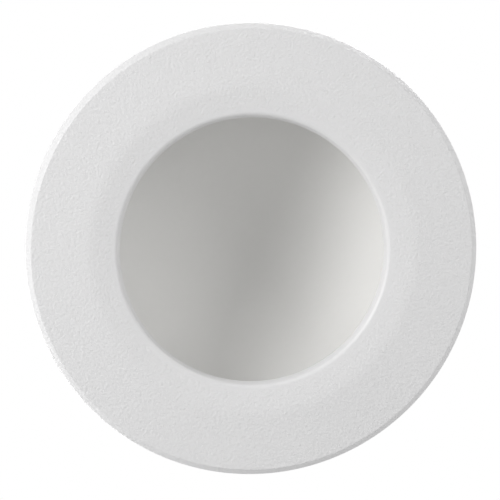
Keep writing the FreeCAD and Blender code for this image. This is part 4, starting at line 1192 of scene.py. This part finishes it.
@dataclass
class DriverBox(SubAssembly):
    """The plastic box on the housing, with the driver board and everything that stands on it."""

    edges: Mapping[str, float] = edge_widths(
        driver_case=0.4,
        driver_cover=0.4,
        case_screws=0.15,
        cover_screws=0.15,
        case_grommet=0.2,
        driver_board=0.12,
        driver_board_screws=0.12,
        transformer=0.3,
        power_chips=0.2,
        output_plug=0.25,
    )
    can_sides: int = 72
    can_round: float = 0.5 * MM
    can_rim: float = 0.9 * MM
    can_sink: float = 0.15 * MM
    groove: float = 0.45 * MM
    groove_level: float = 1.8 * MM
    score: float = 0.12 * MM
    choke_wire: float = 0.3 * MM
    choke_turns: int = 9
    choke_sweep: float = 125.0
    choke_foot: float = 0.8 * MM
    coil_wire: float = 0.3 * MM
    coil_turns: int = 4
    coil_reach: float = 5.65 * MM
    coil_length: float = 2.5 * MM

    def _beside(self, piece: Piece, slot: str) -> Piece:
        """Finishes a piece that belongs to another and rides with the light.

        Args:
            piece: The piece.
            slot: Its finish.

        Returns:
            The piece.
        """
        self.shop.paint(piece, slot)
        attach(piece, "light")
        return piece

    def _can(self, name: str, outline: Sequence[Point], middle: Point) -> Piece:
        """Turns a small piece about an upright line of its own."""
        return self.shop.turned(name, outline, self.can_sides, middle)

    def capacitor(self, node: str) -> list[Piece]:
        """Turns a can in its shrunk sleeve, crimped near the foot, with a scored metal top.

        Args:
            node: The constructed can that it stands for.

        Returns:
            The sleeve and the top.
        """
        low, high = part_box(node)
        middle = ((low[0] + high[0]) / 2, (low[1] + high[1]) / 2)
        radius, foot, top = (high[0] - low[0]) / 2, low[2], high[2]
        waist, half, rim = foot + self.groove_level, self.groove, radius - self.can_rim
        corners = [
            (0.0, foot),
            (radius, foot),
            (radius, waist - half),
            (radius - self.groove, waist - half / 2),
            (radius - self.groove, waist + half / 2),
            (radius, waist + half),
            (radius, top),
            (rim, top),
            (rim, top - self.can_sink),
            (0.0, top - self.can_sink),
        ]
        rounds = dict.fromkeys((1, 6), self.can_round) | dict.fromkeys((2, 3, 4, 5, 7), self.score)
        sleeve = self.settle(self._can(f"{node}_sleeve", soften(corners, rounds), middle), node)
        skin = top - self.can_sink / 2
        disc = [(0.0, top - 2 * self.can_sink), (rim, top - 2 * self.can_sink), (rim, skin), (0.0, skin)]
        cover = self._can(f"{node}_top", disc, middle)
        long, thin = 0.8 * rim, self.score
        for across, along in ((long, thin), (thin, long)):
            start = Vector((middle[0] - across, middle[1] - along, skin - self.can_sink / 2))
            end = Vector((middle[0] + across, middle[1] + along, top))
            self.shop.cut(cover, [self.shop.cutter(start, end)])
        return [sleeve, self._beside(cover, "zinc_steel")]

    def choke(self) -> list[Piece]:
        """Winds the choke: a ring core on a foot, with a winding on each half.

        Returns:
            The core, the foot and the windings.
        """
        low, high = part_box("emc_choke")
        middle = (Vector(low) + Vector(high) + Vector((0.0, 0.0, self.choke_foot))) / 2
        thick = (high[2] - low[2] - self.choke_foot) / 2
        major = (high[0] - low[0]) / 2 - thick
        core = thick - 2 * self.choke_wire
        section = [(major + x, middle.z + y) for x, y in around(core, 0.0, 32)]
        ring = self.settle(self.shop.turned("emc_choke_core", section, 96, middle.xy[:]), "emc_choke")
        disc = [(0.0, low[2]), (major, low[2]), (major, middle.z - core), (0.0, middle.z - core)]
        disc = soften(disc, {1: self.score, 2: self.score})
        foot = self._can("emc_choke_foot", disc, middle.xy[:])
        pieces = [ring, self._beside(foot, "chip_black")]
        sweep, reach = math.radians(self.choke_sweep), core + self.choke_wire
        count = 24 * self.choke_turns
        for half in range(2):
            line = []
            for k in range(count + 1):
                angle = math.pi * half + sweep * (k / count - 0.5)
                turn = 2 * math.pi * self.choke_turns * k / count
                out = major + reach * math.cos(turn)
                point = (out * math.cos(angle), out * math.sin(angle), reach * math.sin(turn))
                line.append(middle + Vector(point))
            line = [Vector((*line[0].xy, low[2])), *line, Vector((*line[-1].xy, low[2]))]
            winding = self.shop.wire(f"emc_choke_winding_{half + 1}", line, self.choke_wire, 10)
            pieces.append(self._beside(winding, "wire_brown"))
        return pieces

    def coil_ends(self) -> list[Piece]:
        """Lays the turns of wire that stand out at both ends of the transformer's core.

        Returns:
            The two coil ends.
        """
        low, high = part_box("transformer")
        level, count = (low[2] + high[2]) / 2, 40 * self.coil_turns
        pieces = []
        starts = (low[1] + self.coil_wire, high[1] - self.coil_wire - self.coil_length)
        for number, start in enumerate(starts, 1):
            line = []
            for k in range(count + 1):
                turn = 2 * math.pi * self.coil_turns * k / count
                across, up = self.coil_reach * math.cos(turn), self.coil_reach * math.sin(turn)
                line.append(Vector((across, start + self.coil_length * k / count, level + up)))
            coil = self.shop.wire(f"transformer_coil_{number}", line, self.coil_wire, 12)
            pieces.append(self._beside(coil, "wire_brown"))
        return pieces

    def build(self) -> list[Piece]:
        """Makes the wound and turned parts and dresses the rest."""
        cans = [*self.capacitor("input_capacitor"), *self.capacitor("output_capacitor")]
        return [*cans, *self.choke(), *self.coil_ends(), *super().build()]


@dataclass
class MainsSide(SubAssembly):
    """The wiring room at the box's end: terminals, release buttons, wires, cable clamp and hinged lid."""

    edges: Mapping[str, float] = edge_widths(
        terminal_block=0.3,
        release_button_1=0.3,
        release_button_2=0.3,
        release_button_3=0.3,
        live_wire=0.0,
        neutral_wire=0.0,
        earth_wire=0.0,
        inlet_grommet=0.3,
        cable_clamp=0.35,
        clamp_screws=0.15,
        terminal_lid=0.4,
        lid_pin=0.15,
    )


@dataclass
class CeilingClip(SubAssembly):
    """One spring clip that folds up to pass the ceiling's hole and then pulls the trim ring up."""

    number: int = 1
    half_turn: bool = False
    axis_out: float = 73.5 * MM
    axis_level: float = 17.0 * MM
    coil: float = 3.0 * MM
    wire: float = 0.5 * MM
    pitch: float = 1.7 * MM
    turns: float = 5.0
    leg_up: float = 6.0 * MM
    leg_out: float = 8.0 * MM
    arm_angle: float = 40.5
    steps_per_turn: int = 40

    def spring_line(self) -> list[Vector]:
        """The spring's middle line: down the bracket, round the pin and out along the arm.

        Returns:
            Points along the wire.
        """
        lean = math.radians(self.arm_angle)
        half = self.turns * self.pitch / 2
        sweep = 2 * math.pi * self.turns + math.pi / 2 - lean
        count = round(self.steps_per_turn * sweep / (2 * math.pi))
        line = [Vector((-self.coil, -half, self.leg_up * (1 - k / 4))) for k in range(4)]
        for k in range(count + 1):
            angle = math.pi + sweep * k / count
            across, up = self.coil * math.cos(angle), self.coil * math.sin(angle)
            line.append(Vector((across, half * (2 * k / count - 1), up)))
        way = Vector((math.cos(lean), 0.0, -math.sin(lean)))
        line += [line[-1] + way * (self.leg_out * k / 4) for k in range(1, 5)]
        middle = Vector((self.axis_out, 0.0, self.axis_level))
        return [self._turned(point + middle) for point in line]

    def _turned(self, point: Vector) -> Vector:
        """A point of the first clip, moved to this clip."""
        return Vector((-point.x, -point.y, point.z)) if self.half_turn else point

    def build(self) -> list[Piece]:
        """Winds the spring and dresses the rest.

        Returns:
            The finished pieces.
        """
        name = f"clip_{self.number}"
        spring = self.shop.wire(f"{name}_spring_wound", self.spring_line(), self.wire)
        self.settle(spring, f"{name}_spring", rides=False)
        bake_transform(spring)
        self.edges = {
            f"{name}_bracket": 0.2,
            f"{name}_pin": 0.15,
            f"{name}_screws": 0.12,
            f"{name}_arm": 0.2,
            f"{name}_foot": 0.3,
        }
        return [spring, *super().build()]


@dataclass(frozen=True)
class Softbox:
    """A soft studio lamp, aimed at the light's middle."""

    name: str
    lean: float
    turn: float
    size: float
    power: float
    distance: float = 1.9

    def build(self) -> None:
        """Hangs the lamp, out of the camera's sight."""
        lamp = bpy.data.lights.new(self.name, "AREA")
        lamp.shape, lamp.size, lamp.energy = "DISK", self.size, self.power
        holder = placed(self.name, lamp)
        place = direction(self.lean, self.turn) * self.distance
        look(holder, place, (-place).to_track_quat("-Z", "Y"))
        holder.visible_camera = False


@dataclass
class Studio:
    """White surroundings, soft lamps, a pale floor far below and the photograph's camera."""

    softboxes: Sequence[Softbox] = (
        Softbox("key_softbox", 62.0, 157.0, 0.8, 19.4),
        Softbox("edge_softbox", 80.0, 145.0, 0.8, 3.4),
        Softbox("key_side_softbox", 62.0, 205.0, 1.0, 4.9),
        Softbox("fill_softbox", 45.0, 345.0, 1.0, 4.7),
        Softbox("fill_side_softbox", 60.0, 35.0, 1.0, 6.5),
        Softbox("rim_softbox", 86.0, 30.0, 0.9, 2.0),
        Softbox("low_softbox", 86.0, 250.0, 0.9, 2.9),
        Softbox("back_softbox", 142.0, 60.0, 1.3, 20.0),
        Softbox("back_fill_softbox", 145.0, 215.0, 1.3, 12.0),
    )
    ambient: float = 0.535
    floor_level: float = -1.7
    floor_half: float = 20.0
    floor_white: float = 0.75
    floor_pale: Colour = (0.46, 0.46, 0.46)
    floor_dull: Colour = (0.44, 0.44, 0.44)
    floor_cloud: float = 0.4
    distance: float = 1.0
    lean: float = 6.5
    lean_towards: float = 137.0
    frame_width: float = 0.19862
    picture: int = 500
    sensor: float = 36.0
    aim: Triple = (0.0, 0.0, -5.5 * MM)
    offset: Point = (2.45, -0.05)
    clip: Point = (0.01, 50.0)

    def surroundings(self) -> None:
        """A world that is white to the eye and in reflections, and plain soft light otherwise."""
        world = bpy.data.worlds.new("white_room")
        bpy.context.scene.world = world
        tree = NodeTree(world)
        tree.nodes.clear()
        _, seen = tree.light_path()
        plain = {"Color": (1.0, 1.0, 1.0)}
        soft = tree.node("ShaderNodeBackground", inputs=plain | {"Strength": self.ambient})
        white = tree.node("ShaderNodeBackground", inputs=plain | {"Strength": 1.0})
        tree.node("ShaderNodeOutputWorld", inputs={"Surface": tree.choose(seen, soft, white)}, output=None)

    def floor(self) -> None:
        """The pale floor, partly white by itself so that it stays pale far from the lamps."""
        half, level = self.floor_half, self.floor_level
        data = bpy.data.meshes.new("floor")
        corners = [(-half, -half, level), (half, -half, level), (half, half, level), (-half, half, level)]
        data.from_pydata(corners, [], [(0, 1, 2, 3)])
        plane = placed("floor", data)
        paint = Pattern("floor_paint")
        shade = paint.noise(self.floor_cloud, 3.0)
        paint.finish(base_color=paint.blend(shade, self.floor_pale, self.floor_dull), roughness=0.8)
        direct, _ = paint.light_path()
        lit = Signal(paint, paint.shader.outputs[0])
        white = paint.node("ShaderNodeEmission", inputs={"Color": (1.0, 1.0, 1.0), "Strength": 1.0})
        out = next(n for n in paint.nodes if n.type == "OUTPUT_MATERIAL")
        paint.feed(out.inputs["Surface"], paint.choose(direct * self.floor_white, lit, white))
        data.materials.append(paint.material)

    def camera(self) -> None:
        """The photograph's camera: below the light, a little towards the picture's upper left."""
        away = direction(self.lean, self.lean_towards)
        ahead = -away
        right = ahead.cross(Vector((0.0, 1.0, 0.0))).normalized()
        up = right.cross(ahead)
        pixel = self.frame_width / self.picture
        aim = Vector(self.aim) - right * (self.offset[0] * pixel) + up * (self.offset[1] * pixel)
        data = bpy.data.cameras.new("camera")
        data.sensor_width = self.sensor
        data.lens = self.sensor * self.distance / self.frame_width
        data.clip_start, data.clip_end = self.clip
        holder = placed("camera", data)
        turn = Matrix((right, up, away)).transposed().to_quaternion()
        look(holder, aim + away * self.distance, turn)
        bpy.context.scene.camera = holder

    def build(self) -> None:
        """Sets up the whole studio."""
        bpy.context.scene.view_settings.view_transform = "Standard"
        self.surroundings()
        self.floor()
        self.camera()
        for softbox in self.softboxes:
            softbox.build()


def main() -> None:
    """Builds the light one sub-assembly after the other, then its studio."""
    shop = Workshop()
    assemblies: Sequence[SubAssembly] = (
        TrimRing(shop),
        Reflector(shop),
        LightRing(shop),
        RearHousing(shop),
        DriverBox(shop),
        MainsSide(shop),
        CeilingClip(shop, number=1),
        CeilingClip(shop, number=2, half_turn=True),
    )
    for assembly in assemblies:
        for piece in assembly.build():
            log.info("%s: %s", type(assembly).__name__, piece.name)
    Studio().build()


if __name__ == "__main__":
    logging.basicConfig(level=logging.INFO, format="%(message)s")
    main()
